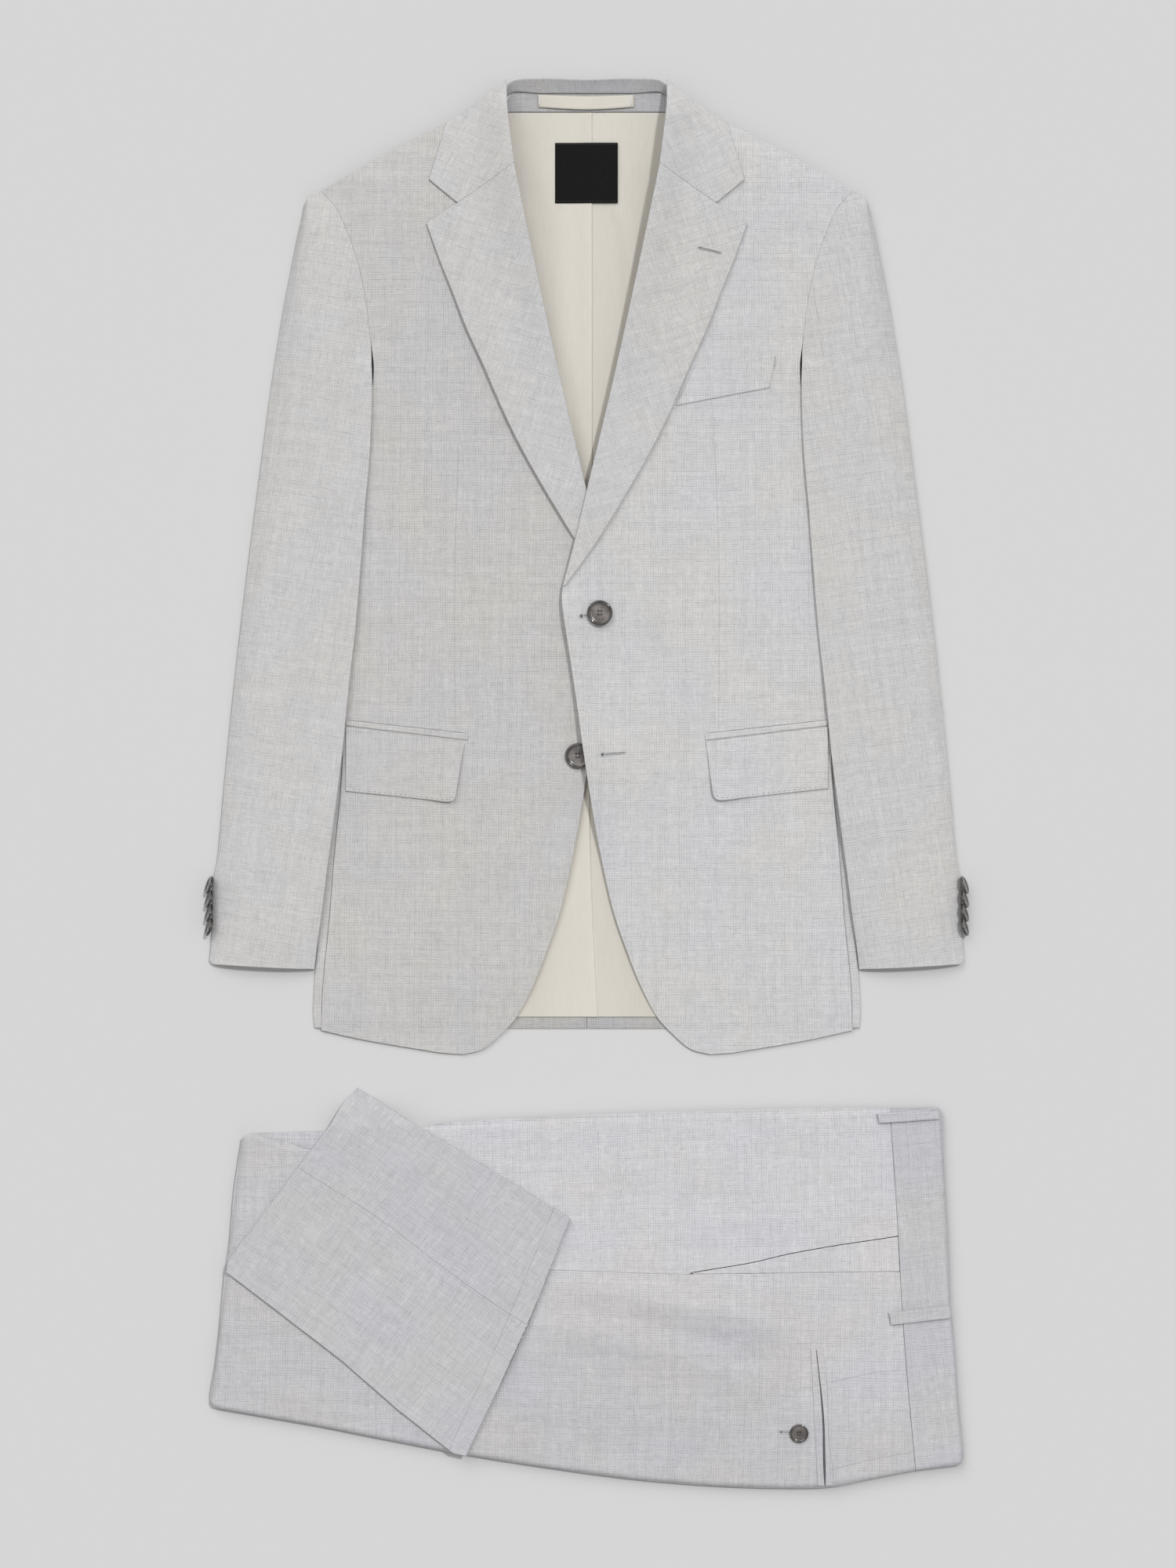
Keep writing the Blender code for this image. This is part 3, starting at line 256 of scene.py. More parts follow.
def body_height(u, v):
    """Top of the fronts' cloth: a low dome across each section, plus the roll's lift.

    Height = edge + (crown - edge) * (1 - |u / half|^4) + lift * exp(-(distance from the roll / spread)^2).
    """
    half = read_table(BODY_SECTIONS, "half", v)
    crown = read_table(BODY_SECTIONS, "crown", v)
    dome = np.clip(1 - np.clip(np.abs(u) / half, 0, 1) ** 4, 0, 1)
    roll = np.array(ROLL)[::-1]
    away = u - np.interp(v, roll[:, 1], roll[:, 0])
    lift = read_table(ROLL_LIFT, "lift", v) * np.exp(-(np.clip(away, 0, None) / ROLL_SPREAD) ** 2)
    edge = np.minimum(EDGE_TOP, crown)
    return edge + (crown - edge) * dome + lift


def lap_lift(u, v):
    """How far the upper front is raised by the lower one: lift at v, fading smoothly along u."""
    fade = np.clip((LAP_FADE - u) / (LAP_FADE - LAP_FLAT), 0, 1)
    return read_table(LAP_LIFT, "lift", v) * fade * fade * (3 - 2 * fade)


# How much of a fold's length it takes to fade in and out.
FOLD_TAPER = 0.3


def near_path(x, y, path):
    """Distance of points from a line through path, signed by the side they are on, and their place.

    Each point is dropped on every segment, and the nearest drop counts. The place runs from 0 to 1.
    """
    knots = np.array(path, float)
    start, along = knots[:-1], np.diff(knots, axis=0)
    length = np.linalg.norm(along, axis=1)
    gone = np.concatenate([[0], np.cumsum(length)])[:-1]
    dx = x[..., None] - start[:, 0]
    dy = y[..., None] - start[:, 1]
    t = np.clip((dx * along[:, 0] + dy * along[:, 1]) / length**2, 0, 1)
    away = np.hypot(dx - t * along[:, 0], dy - t * along[:, 1])
    best = away.argmin(-1)[..., None]
    side = np.sign(along[:, 0] * dy - along[:, 1] * dx)
    distance = np.take_along_axis(away * side, best, -1)[..., 0]
    place = np.take_along_axis(gone + t * length, best, -1)[..., 0] / length.sum()
    return distance, place


def folds(x, y, table):
    """Soft troughs and ridges: the sum of rise * exp(-(distance / width)^2) * a taper at both ends."""
    total = np.zeros_like(x)
    for path, width, rise in table:
        distance, place = near_path(x, y, path)
        taper = soft_step(np.minimum(place, 1 - place), 0.0, FOLD_TAPER)
        total += rise * np.exp(-(distance / width) ** 2) * taper
    return total


# Folds of each front as (points in u and v, half width, rise).
FRONT_FOLDS = {
    1: [([(150, 560), (152, 480), (150, 400), (158, 300)], 9, -0.7),
        ([(120, 470), (124, 380), (122, 300)], 11, 0.5),
        ([(176, 470), (172, 400), (180, 320), (186, 250)], 6, -0.8),
        ([(60, 300), (64, 240), (72, 180)], 14, 0.6),
        ([(40, 260), (80, 236), (120, 226)], 10, -0.5),
        ([(96, 180), (104, 110), (112, 40)], 12, 0.6),
        ([(140, 180), (146, 100), (150, 20)], 11, -0.6),
        ([(176, 190), (180, 120), (186, 30)], 8, 0.6),
        ([(20, 340), (70, 366), (120, 400)], 12, -0.5),
        ([(180, 600), (150, 610), (128, 640)], 10, -0.6)],
    -1: [([(148, 590), (150, 500), (146, 410), (152, 310)], 10, -0.7),
         ([(166, 540), (170, 450), (168, 380), (176, 280)], 6, 0.7),
         ([(182, 460), (181, 400), (186, 320), (190, 262)], 5, -0.9),
         ([(70, 420), (74, 340), (70, 260)], 13, 0.6),
         ([(40, 330), (84, 350), (130, 380)], 11, -0.5),
         ([(100, 180), (108, 110), (110, 30)], 13, -0.6),
         ([(150, 180), (156, 110), (162, 20)], 10, 0.7),
         ([(178, 190), (184, 110), (192, 20)], 7, -0.7),
         ([(176, 630), (150, 620), (124, 640)], 11, -0.5)],
}


# How far the upper front's edge stands off, over what distance, and between which heights.
EDGE_STAND = 6.0
EDGE_SPRING = 13.0
EDGE_STAND_FROM = (130.0, 190.0)
EDGE_STAND_TO = (325.0, 365.0)


def front_height(u, v, side):
    """Top of a front: the body's dome and folds, and on the upper front its rise over the lower one."""
    height = body_height(u, v) + folds(u, v, FRONT_FOLDS[side])
    if side > 0:
        over_button = np.exp(-((u - BUTTON_RISE_AT[0]) / BUTTON_SPREAD[0]) ** 2
                             - ((v - BUTTON_RISE_AT[1]) / BUTTON_SPREAD[1]) ** 2)
        between = soft_step(v, *EDGE_STAND_FROM) * (1 - soft_step(v, *EDGE_STAND_TO))
        edge = np.exp(-(near_path(u, v, FRONT_EDGE)[0] / EDGE_SPRING) ** 2)
        height = height + lap_lift(u, v) + BUTTON_RISE * over_button + EDGE_STAND * edge * between
    return height


def over_front(grid, side):
    """A front's height at each point of a grid in u and v."""
    return front_height(grid[..., 0], grid[..., 1], side)


def edge_run(grid):
    """Each grid point's distance from the nearest edge, measured along the grid's own lines."""
    least = []
    for axis in (0, 1):
        step = np.linalg.norm(np.diff(grid, axis=axis), axis=-1)
        run = np.cumsum(step, axis=axis)
        run = np.concatenate([np.zeros_like(np.take(run, [0], axis=axis)), run], axis=axis)
        least.append(np.minimum(run, np.take(run, [-1], axis=axis) - run))
    return np.minimum(*least)


# Lines of a grid close to its edge, in millimetres in from it.
RIM_LINES = (0.0, 0.1, 0.3, 0.6, 1.0, 1.6, 2.6)


def lines(length, step, low=True, high=True):
    """Places from 0 to 1 along a length, about a step apart, with close lines at the chosen ends."""
    rim = np.array(RIM_LINES) / length
    start, end = (rim[-1] if low else 0.0), (1 - rim[-1] if high else 1.0)
    inner = np.linspace(start, end, max(3, int((end - start) * length / step)))
    return np.concatenate([rim[:-1] if low else [], inner, (1 - rim[:-1])[::-1] if high else []])


def make_mesh(name, points, quads, triangles=None):
    """A smooth mesh from arrays of points in metres, of four-cornered faces and of three-cornered ones."""
    triangles = np.zeros((0, 3), int) if triangles is None else triangles
    corners = np.concatenate([quads.ravel(), triangles.ravel()])
    counts = np.concatenate([np.full(len(quads), 4), np.full(len(triangles), 3)])
    starts = np.concatenate([[0], np.cumsum(counts)[:-1]])
    mesh = bpy.data.meshes.new(name)
    mesh.vertices.add(len(points))
    mesh.vertices.foreach_set("co", points.astype(np.float32).ravel())
    mesh.loops.add(len(corners))
    mesh.loops.foreach_set("vertex_index", corners.astype(np.int32))
    mesh.polygons.add(len(counts))
    mesh.polygons.foreach_set("loop_start", starts.astype(np.int32))
    mesh.update(calc_edges=True)
    mesh.shade_smooth()
    return mesh, corners


def add_uv(mesh, corners, flat):
    """The cloth's own coordinates, in metres along the weft and the warp, on each corner."""
    layer = mesh.uv_layers.new(name="cloth")
    layer.data.foreach_set("uv", flat[corners].astype(np.float32).ravel())


def add_values(mesh, name, values):
    """One number for each point, which the material reads by name."""
    mesh.attributes.new(name, "FLOAT", "POINT").data.foreach_set("value", values.astype(np.float32))


def put(name, data):
    """An object in the scene that holds a mesh, lamp or camera."""
    thing = bpy.data.objects.new(name, data)
    bpy.context.scene.collection.objects.link(thing)
    return thing


def add_piece(name, mesh, look, nodes):
    """Puts a mesh in the scene in place of CAD nodes, in a material."""
    thing = put(name, mesh)
    mesh.materials.append(LOOKS[look])
    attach(thing, "root")
    if nodes:
        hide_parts(*nodes)
    return thing


# Far from every sewn line.
FAR = 99.0
# Radius of a cloth's rolled edge where it is free and where it is sewn, and the part that comes
# off the top.
ROLLED = 1.0
SEWN = 0.55
ROLLED_TOP = 0.75
# Half the space left between pieces that are sewn together.
JOIN = 0.03


def unsewn(mesh, count):
    """Marks all of a mesh's points as far from edges and sewn lines."""
    for name in ("edge", "seam_1", "seam_2"):
        add_values(mesh, name, np.full(count, FAR))


def declare_sheet(outline, area=None):
    """Works out a piece's cut, the smallest rectangle around its outline over all turns, and returns
    nothing.

    The area, where it isn't given, is half the sum of x1 * y2 - x2 * y1 round the outline.
    """
    if area is None:
        after = np.roll(outline, -1, axis=0)
        area = abs((outline[:, 0] * after[:, 1] - after[:, 0] * outline[:, 1]).sum()) / 2
    turn = np.radians(np.arange(0.0, 90.0, 0.5))[:, None]
    along = np.ptp(outline[:, 0] * np.cos(turn) + outline[:, 1] * np.sin(turn), axis=1)
    across = np.ptp(outline[:, 1] * np.cos(turn) - outline[:, 0] * np.sin(turn), axis=1)
    least = (along * across).argmin()


def grid_faces(rows, cols):
    """The numbers of a grid's points, and its four-cornered faces."""
    index = np.arange(rows * cols).reshape(rows, cols)
    corners = [index[:-1, :-1], index[:-1, 1:], index[1:, 1:], index[1:, :-1]]
    return index, np.stack(corners, axis=-1).reshape(-1, 4)


def cloth(node, grid, top, thick, look="wool", slot="jacket_wool", grain=0.0, seams=(), rolled=ROLLED):
    """A piece of cloth in place of one CAD node: a closed shell whose edges are rolled over.

    The top is the grid at height top, and the underside lies thick below it. Within r of an edge the
    top falls and the underside rises along a quarter circle, r - sqrt(r^2 - (r - distance)^2). Every
    point keeps its distance from the edge and from up to two sewn lines. Grain turns the weave.
    """
    rows, cols = top.shape
    run = edge_run(grid)
    r = min(thick, rolled)
    fall = r - np.sqrt(np.clip(r * r - np.clip(r - run, 0, r) ** 2, 0, None))
    upper = raised(grid, top - ROLLED_TOP * fall).reshape(-1, 3)
    lower = raised(grid, top - thick + (1 - ROLLED_TOP) * fall).reshape(-1, 3)
    index, face = grid_faces(rows, cols)
    ring = np.concatenate([index[0], index[1:, -1], index[-1, -2::-1], index[-2:0:-1, 0]])
    follow = np.roll(ring, -1)
    count = rows * cols
    rim = np.stack([follow, ring, ring + count, follow + count], axis=-1)
    quads = np.concatenate([face, face[:, ::-1] + count, rim])
    across, up = grid[-1, 0] - grid[0, 0], grid[0, -1] - grid[0, 0]
    if up[0] * across[1] - up[1] * across[0] < 0:
        quads = quads[:, ::-1]
    mesh, corners = make_mesh(node, np.concatenate([upper, lower]) * MM, quads)
    turn = math.radians(grain)
    x, y = grid[..., 0].ravel(), grid[..., 1].ravel()
    flat = np.stack([x * math.cos(turn) + y * math.sin(turn),
                     y * math.cos(turn) - x * math.sin(turn)], axis=-1)
    add_uv(mesh, corners, np.concatenate([flat, flat]) * MM)
    add_values(mesh, "edge", np.tile(run.ravel(), 2))
    for number in range(2):
        away = near_path(x, y, seams[number])[0] if number < len(seams) else np.full(count, FAR)
        add_values(mesh, f"seam_{number + 1}", np.tile(away, 2))
    piece = add_piece(f"{node}_cloth", mesh, look, [node])
    declare_sheet(flat[ring])
    return piece


def paired(name, side, grid, height, thick, look="wool", slot="jacket_wool", **more):
    """One of the jacket's pieces that come as a left and a right one, from a grid in u and v."""
    return cloth(side_name(name, side), place_jacket(grid, side), height, thick, look, slot, **more)


def side_name(name, side):
    """A name with the wearer's side; side is 1 at +X, the wearer's left."""
    return f"{name}_{'left' if side > 0 else 'right'}"


def place_trousers(grid):
    """Points of the trouser tables in the object's x and y."""
    return grid + TROUSERS_MOVE


def moved(points, du, dv=0.0):
    """Points moved in their plane."""
    return np.array(points, float) + (du, dv)


def placed(path, side):
    """A jacket table as points in the object's x and y."""
    return place_jacket(np.array(path, float), side)


# u, v down the front's dart.
DART = [(102.7, 461.2), (104.3, 423.4), (105.5, 385.6), (106.2, 333.9), (105.5, 238.1)]


# Degrees by which each piece's weave is turned, and each front's look: one wool, with painted shade on the
# wearer's right front and painted light on the left one, and so on their pockets and welt.
FRONT_GRAIN = {1: 0.4, -1: -0.6}
FRONT_LOOK = {1: "wool_painted_light", -1: "wool_painted_shade"}
LAPEL_GRAIN = {1: 17.0, -1: -17.0}
COLLAR_GRAIN = {1: 25.0, -1: -25.0}


def front(side):
    """The front, filled between hem, shoulder, front edge with roll line, and side seam with armhole."""
    inner = curve(FRONT_EDGE[:0:-1] + ROLL[::-1], 600)
    outer = curve(SIDE[::-1] + ARMHOLE[-2::-1], 400)
    grid = patch(curve(FRONT_HEM, 200), curve(SHOULDER, 200), inner, outer, lines(790.0, 3.0),
                 lines(200.0, 3.0))
    paired("front", side, grid, over_front(grid, side), FRONT, FRONT_LOOK[side],
           seams=[placed(DART, side)], grain=FRONT_GRAIN[side], rolled=SEWN)


# How far each lapel's outer edge stands off the front, over what distance from the edge, and along
# which parts of the edge that rise begins and ends.
LAPEL_STAND = {1: 1.2, -1: 3.0}
LAPEL_SPRING = 26.0
LAPEL_STAND_FROM = (-0.12, 0.3)
LAPEL_STAND_TO = (0.75, 1.0)


def lapel_stand(grid, side):
    """A lapel's rise to its outer edge: stand * exp(-(distance from it / spring)^2), low at the ends."""
    away, place = near_path(grid[..., 0], grid[..., 1], LAPEL_EDGE)
    ends = soft_step(place, *LAPEL_STAND_FROM) * (1 - soft_step(place, *LAPEL_STAND_TO))
    return LAPEL_STAND[side] * np.exp(-(away / LAPEL_SPRING) ** 2) * ends


def lapel(side):
    """The lapel, folded back over the front from the roll line to its outer edge."""
    roll = curve(ROLL[2:], 400)[::-1]
    foot = polyline([ROLL[-1], LAPEL_EDGE[-1]])
    top = polyline([GORGE_END, NOTCH, LAPEL_EDGE[0]], 300)
    grid = patch(foot, top, roll, curve(LAPEL_EDGE[::-1], 400), lines(340.0, 2.2), lines(60.0, 1.6))
    height = over_front(grid, side) + LAY + FRONT + lapel_stand(grid, side)
    paired("lapel", side, grid, height, FRONT, grain=LAPEL_GRAIN[side])


def collar(side):
    """The collar's leaf, from the roll round the neck to its point, over the front's shoulder."""
    seam = moved([GORGE_END, NOTCH, COLLAR_EDGE[-1]], 0.0, JOIN)
    roll = curve(ROLL[2::-1], 200) + (0.0, 1.0)
    roll[0] = seam[0]
    outer = curve(COLLAR_EDGE[::-1], 100)
    outer[0] = seam[-1]
    ridge = polyline([roll[-1], (83.5, 745.4), outer[-1]], 200)
    grid = patch(polyline(seam, 200), ridge, roll, outer, lines(60.0, 1.5), lines(60.0, 1.5))
    paired("collar", side, grid, over_front(grid, side) + LAY + FRONT, FRONT, grain=COLLAR_GRAIN[side])


def ring_form(name, rings, first, last):
    """A closed surface of rings, each a loop of points, with a pole at either end.

    rings[i, j] is point j of loop i. Neighbouring loops are joined by four-cornered faces, and the
    first and last loops by triangles to the poles, which closes the surface.
    """
    count, around = rings.shape[:2]
    points = np.concatenate([rings.reshape(-1, 3), [first, last]])
    index = np.arange(count * around).reshape(count, around)
    follow = np.roll(index, -1, axis=1)
    quads = np.stack([index[:-1], follow[:-1], follow[1:], index[1:]], axis=-1).reshape(-1, 4)
    poles = (np.full(around, count * around), np.full(around, count * around + 1))
    triangles = np.concatenate([np.stack([follow[0], index[0], poles[0]], axis=-1),
                                np.stack([index[-1], follow[-1], poles[1]], axis=-1)])
    return make_mesh(name, points * MM, quads, triangles)


# Base and top of the collar's stand as u, v and height, from the gorge to the middle of the back.
STAND_SECTIONS = [
    ((66.0, 691.5, 3.8), (62.5, 692.0, 22.0)),
    ((69.5, 715.0, 3.8), (65.8, 716.0, 21.0)),
    ((70.0, 738.0, 3.8), (66.4, 739.5, 18.5)),
    ((62.0, 751.0, 3.5), (61.0, 759.0, 8.4)),
    ((36.9, 751.0, 3.3), (36.9, 761.9, 7.6)),
    ((0.0, 751.0, 3.3), (0.0, 761.0, 7.6)),
]
STAND_WALL = 1.0
STAND_BULGE = 0.6


def collar_stand():
    """The collar's stand: a narrow wall from the neck seam up to the roll, closed by Solidify.

    Each point lies between base and top, and stands out by bulge * sin(pi * part of the way up).
    """
    half = np.array(STAND_SECTIONS)
    sections = np.concatenate([half, half[-2::-1] * (-1.0, 1.0, 1.0)])
    base, top = curve(sections[:, 0], 241), curve(sections[:, 1], 241)
    rise = np.linspace(0, 1, 13)[:, None, None]
    points = base[None] * (1 - rise) + top[None] * rise
    points[..., 1] += STAND_BULGE * np.sin(np.pi * rise[..., 0])
    flat = points.copy()
    flat[..., :2] = place_jacket(points[..., :2], 1)
    rows, cols = flat.shape[:2]
    mesh, corners = make_mesh("collar_stand", flat.reshape(-1, 3) * MM, grid_faces(rows, cols)[1])
    wide, high = np.meshgrid(path_run(top), np.linspace(0, np.linalg.norm(top[0] - base[0]), rows))
    laid_out = np.stack([wide.ravel(), high.ravel()], axis=-1)
    add_uv(mesh, corners, laid_out * MM)
    unsewn(mesh, rows * cols)
    # The stand's wool carries painted shade: it is darkened as if in the neck's shade.
    stand = add_piece("collar_stand_cloth", mesh, "wool_neck_painted_shade", ["collar_stand"])
    wall = stand.modifiers.new("wall", "SOLIDIFY")
    wall.thickness = STAND_WALL * MM
    wall.offset = 0.0
    wall.use_even_offset = True
    step = np.linalg.norm(np.diff(points, axis=1), axis=2)[:-1]
    climb = np.linalg.norm(np.diff(points, axis=0), axis=2)[:, :-1]
    declare_sheet(laid_out, (step * climb).sum())


# u, v along the back's neck and shoulder, from the centre seam to the armhole.
BACK_TOP = [(0.0, 751.6), (40.0, 752.0), (60.0, 754.0), (68.0, 753.6), (83.5, 743.6),
            (111.8, 726.0), (158.4, 702.6), (209.6, 672.2)]
# How far the back stays inside the front's outline.
BACK_INSET = 3.0


def back(side):
    """Half of the back, flat on the table from its centre seam to the side panel."""
    outer = moved(curve(SIDE[::-1] + ARMHOLE[-2::-1], 300), -BACK_INSET)
    outer[:, 1] = np.clip(outer[:, 1], 0.0, None)
    top = curve(BACK_TOP, 200)
    outer[-1] = top[-1]
    centre = polyline([(JOIN, 0.0), (JOIN, top[0, 1])])
    top[0] = centre[-1]
    grid = patch(polyline([centre[0], outer[0]]), top, centre, outer, lines(750.0, 7.0), lines(210.0, 6.0))
    paired("back", side, grid, np.full(grid.shape[:2], SHELL), SHELL, "wool_back_hem_shade")


# Height of the folded side panel at the front's seam, how much lower it is at the fold, and the
# lowest point of its hem.
SIDE_FOLD_TOP = 3.2
SIDE_FOLD_FALL = 1.2
SIDE_HEM = 0.6


def side_panel(side):
    """The side panel, folded double along the jacket's edge, so two walls thick."""
    seam = moved(curve(SIDE[:1:-1], 300), JOIN)
    seam[:, 1] = np.clip(seam[:, 1], SIDE_HEM, None)
    fold = curve(SIDE_FOLD[::-1], 300)
    across = lines(12.0, 1.0)
    grid = between(seam, fold, lines(480.0, 5.0), across)
    height = SIDE_FOLD_TOP - SIDE_FOLD_FALL * across**2 + np.zeros(grid.shape[:2])
    paired("side_panel", side, grid, height, SIDE_FOLD_TOP - SIDE_FOLD_FALL)


# The lining's half width, lower and upper end, and u, v up the fold of its centre pleat.
LINING_HALF = 84.0
LINING_LOW = 9.6
LINING_HIGH = 735.6
PLEAT = [(8.5, 9.6), (4.6, 90.0), (2.2, 171.4), (4.1, 400.0), (4.1, 735.6)]
# How high the pleat's upper layer lies over the lower one, and how wide its rise is.
PLEAT_RISE = 1.2
PLEAT_WIDTH = 9.0
# Soft wrinkles of the lining, in u and v.
LINING_FOLDS = [([(14, 690), (30, 640), (40, 560)], 6, 0.4), ([(-50, 700), (-34, 640), (-26, 560)], 8, -0.4),
                ([(24, 560), (18, 480), (12, 400)], 5, 0.35), ([(-14, 540), (-10, 460), (-8, 380)], 4, -0.3),
                ([(-30, 150), (-26, 90), (-40, 30)], 6, 0.35), ([(22, 140), (30, 80), (44, 24)], 6, -0.35),
                ([(-24, 560), (-22, 470), (-14, 390)], 5, 0.3),
                ([(40, 700), (46, 640), (38, 590)], 7, -0.35)]


def lining_top(u, v, upper):
    """Height of the lining: soft wrinkles, and on its upper layer a rise towards the pleat's fold.

    Rise = pleat's rise * exp(-(distance from the fold / width)^2).
    """
    fold = np.interp(v, *np.array(PLEAT)[:, ::-1].T)
    rise = PLEAT_RISE * np.exp(-(np.clip(fold - u, 0, None) / PLEAT_WIDTH) ** 2) if upper else 0.0
    return LINING_TOP + rise + folds(u, v, LINING_FOLDS)


def back_lining(side):
    """Half of the back's lining where the open fronts show it; the half at -X folds over the other."""
    inner, outer = (polyline([(u, LINING_LOW), (u, LINING_HIGH)]) for u in (-JOIN, LINING_HALF))
    fold = curve(PLEAT, 200) * (-1.0, 1.0) if side < 0 else inner
    grid = between(fold, outer, lines(726.0, 5.0), lines(84.0, 2.0))
    height = lining_top(side * grid[..., 0], grid[..., 1], side < 0)
    paired("back_lining", side, grid, height, LINING, "lining", "lining", rolled=SEWN)


def strip(corners, step):
    """A grid between four corners, low left and right, then high left and right."""
    low_left, low_right, high_left, high_right = np.array(corners, float)
    wide, long = np.linalg.norm(low_right - low_left), np.linalg.norm(high_left - low_left)
    return between(polyline([low_left, high_left]), polyline([low_right, high_right]),
                   lines(long, step), lines(wide, step))


# u, v of the neck's pieces by their corners: the facing and the label. The hanger loop's upper and
# lower edge, its belly's height and half length.
FACING = [(-68.0, 736.2), (68.0, 736.2), (-60.0, 751.4), (60.0, 751.4)]
LABEL = [(-25.5, 662.8), (24.9, 662.8), (-25.5, 711.3), (24.9, 711.3)]
HANGER_HIGH = [(-39.4, 749.9), (-20.0, 749.0), (0.0, 748.5), (20.0, 749.0), (37.6, 749.8)]
HANGER_LOW = [(-39.2, 739.8), (-20.0, 738.5), (0.0, 737.8), (20.0, 738.5), (37.8, 740.0)]
FACING_TOP = SHELL + GAP + SHELL
LOOP_TOP = FACING_TOP + 2 * GAP + TRIM
LOOP_BELLY = 0.9
LOOP_HALF = 40.0


def label_top(u, v):
    """Top of the label, which lies over both layers of the lining."""
    return np.maximum(lining_top(u, v, True), lining_top(u, v, False)) + GAP + TRIM


def neck():
    """What shows inside the neck: facing, hanger loop and a bare label."""
    grid = strip(FACING, 2.0)
    # The neck facing shares the stand's painted shade.
    cloth("neck_facing", place_jacket(grid, 1), np.full(grid.shape[:2], FACING_TOP), SHELL, "wool_neck_painted_shade")
    grid = stacked(curve(HANGER_LOW, 200), curve(HANGER_HIGH, 200), lines(10.6, 0.8), lines(78.0, 1.6))
    belly = LOOP_BELLY * np.clip(1 - (grid[..., 0] / LOOP_HALF) ** 4, 0, 1)
    cloth("hanger_loop", place_jacket(grid, 1), LOOP_TOP + belly, TRIM, "lining", "lining", grain=90.0)
    grid = strip(LABEL, 1.5)
    height = label_top(grid[..., 0], grid[..., 1])
    cloth("neck_label", place_jacket(grid, 1), height, TRIM, "label", "label")


# How thick the jets and the flaps are, and the u where the hip pockets end under the sleeve.
JET_RAISE = 1.0
FLAP_RAISE = 1.6
POCKET_END = 193.6
# u, v of the hip pocket's jet by its corners.
HIP_JET = [(94.9, 231.6), (POCKET_END, 243.4), (94.8, 236.9), (POCKET_END, 247.8)]
# u, v along each flap's lower edge, from its rounded corner to its end under the sleeve, and its
# upper corner.
FLAP_LOW = {
    1: [(100.6, 190.5), (101.8, 186.4), (103.8, 184.2), (107.0, 183.4), (130.0, 185.9),
        (POCKET_END, 192.9)],
    -1: [(104.6, 189.8), (105.6, 185.6), (107.2, 183.2), (110.0, 182.2), (130.0, 184.3),
         (POCKET_END, 190.8)],
}
FLAP_CORNER = {1: (95.4, 230.2), -1: (98.0, 229.2)}
# How far a flap's free corner stands off the front, over what distance, and where that corner is.
FLAP_STAND = 2.6
FLAP_SPRING = 22.0
FLAP_FREE = (101.0, 186.0)


def flap_lift(u, v):
    """A flap's rise above its front: stand * exp(-(distance from its free corner / spring)^2)."""
    away = np.hypot(u - FLAP_FREE[0], v - FLAP_FREE[1])
    return GAP + FLAP_STAND * np.exp(-(away / FLAP_SPRING) ** 2)


def hip_pocket(side):
    """The jet and flap of the hip pocket, following the front."""
    grid = strip(HIP_JET, 1.2)
    height = over_front(grid, side) + GAP + JET_RAISE
    paired("pocket_jet", side, grid, height, JET_RAISE, FRONT_LOOK[side], grain=90.0)
    high = polyline([FLAP_CORNER[side], (POCKET_END, 242.4)])
    grid = stacked(curve(FLAP_LOW[side], 300), high, lines(46.0, 1.5), lines(98.0, 1.5))
    height = over_front(grid, side) + flap_lift(grid[..., 0], grid[..., 1]) + FLAP_RAISE
    paired("pocket_flap", side, grid, height, FLAP_RAISE, FRONT_LOOK[side], grain=FRONT_GRAIN[side])


# u, v of the breast welt's corners.
WELT = [(71.5, 499.4), (146.5, 513.8), (86.6, 530.6), (151.5, 540.5)]


def chest_welt():
    """The welt of the breast pocket, which slants up to the sleeve."""
    grid = strip(WELT, 1.5)
    height = over_front(grid, 1) + GAP + JET_RAISE
    cloth("chest_welt", place_jacket(grid, 1), height, JET_RAISE, FRONT_LOOK[1], grain=FRONT_GRAIN[1])


# v, height of the sleeve along its middle.
SLEEVE_SECTIONS = {
    "v": (48.0, 150.0, 300.0, 450.0, 560.0, 640.0, 672.0),
    "crown": (11.5, 13.0, 14.5, 16.0, 17.5, 17.0, 12.0),
}
SLEEVE_EDGE_TOP = 3.6
# u and v over which the sleeve comes down from the jacket's side to the table.
BODY_REACH = (210.0, 224.0)
ARM_REACH = (532.0, 548.0)
# v, extra height that the pocket flap needs under the sleeve.
FLAP_CLEAR = {"v": (130.0, 165.0, 270.0, 300.0), "rise": (0.0, 2.4, 2.4, 0.0)}
CLEARANCE = 0.8
SLEEVE_DOME = 3.0
# v over which the under piece comes up to the upper one at the sleeve's head.
HEAD_CLOSE = (648.0, 667.0)
# Folds of each sleeve as (points in u and v, half width, rise).
SLEEVE_FOLDS = {
    1: [([(204, 560), (214, 470), (226, 380)], 10, 0.9), ([(236, 600), (238, 500), (246, 410)], 12, -0.8),
        ([(262, 400), (268, 300), (276, 200)], 12, 0.7), ([(222, 360), (232, 260), (240, 160)], 11, -0.8),
        ([(250, 240), (256, 160), (262, 80)], 12, 0.7), ([(196, 420), (206, 330), (214, 240)], 7, 0.7),
        ([(230, 330), (256, 318), (276, 322)], 10, -0.6)],
    -1: [([(200, 570), (210, 480), (220, 390)], 9, 0.9), ([(232, 610), (240, 520), (250, 430)], 12, -0.8),
         ([(258, 390), (266, 300), (272, 210)], 13, 0.7), ([(218, 350), (228, 250), (238, 150)], 10, -0.8),
         ([(252, 230), (260, 150), (266, 70)], 11, -0.6), ([(200, 400), (208, 320), (218, 230)], 7, 0.7),
         ([(226, 352), (250, 340), (272, 346)], 10, -0.6)],
}
SLEEVE_GRAIN = {1: 8.5, -1: -8.5}


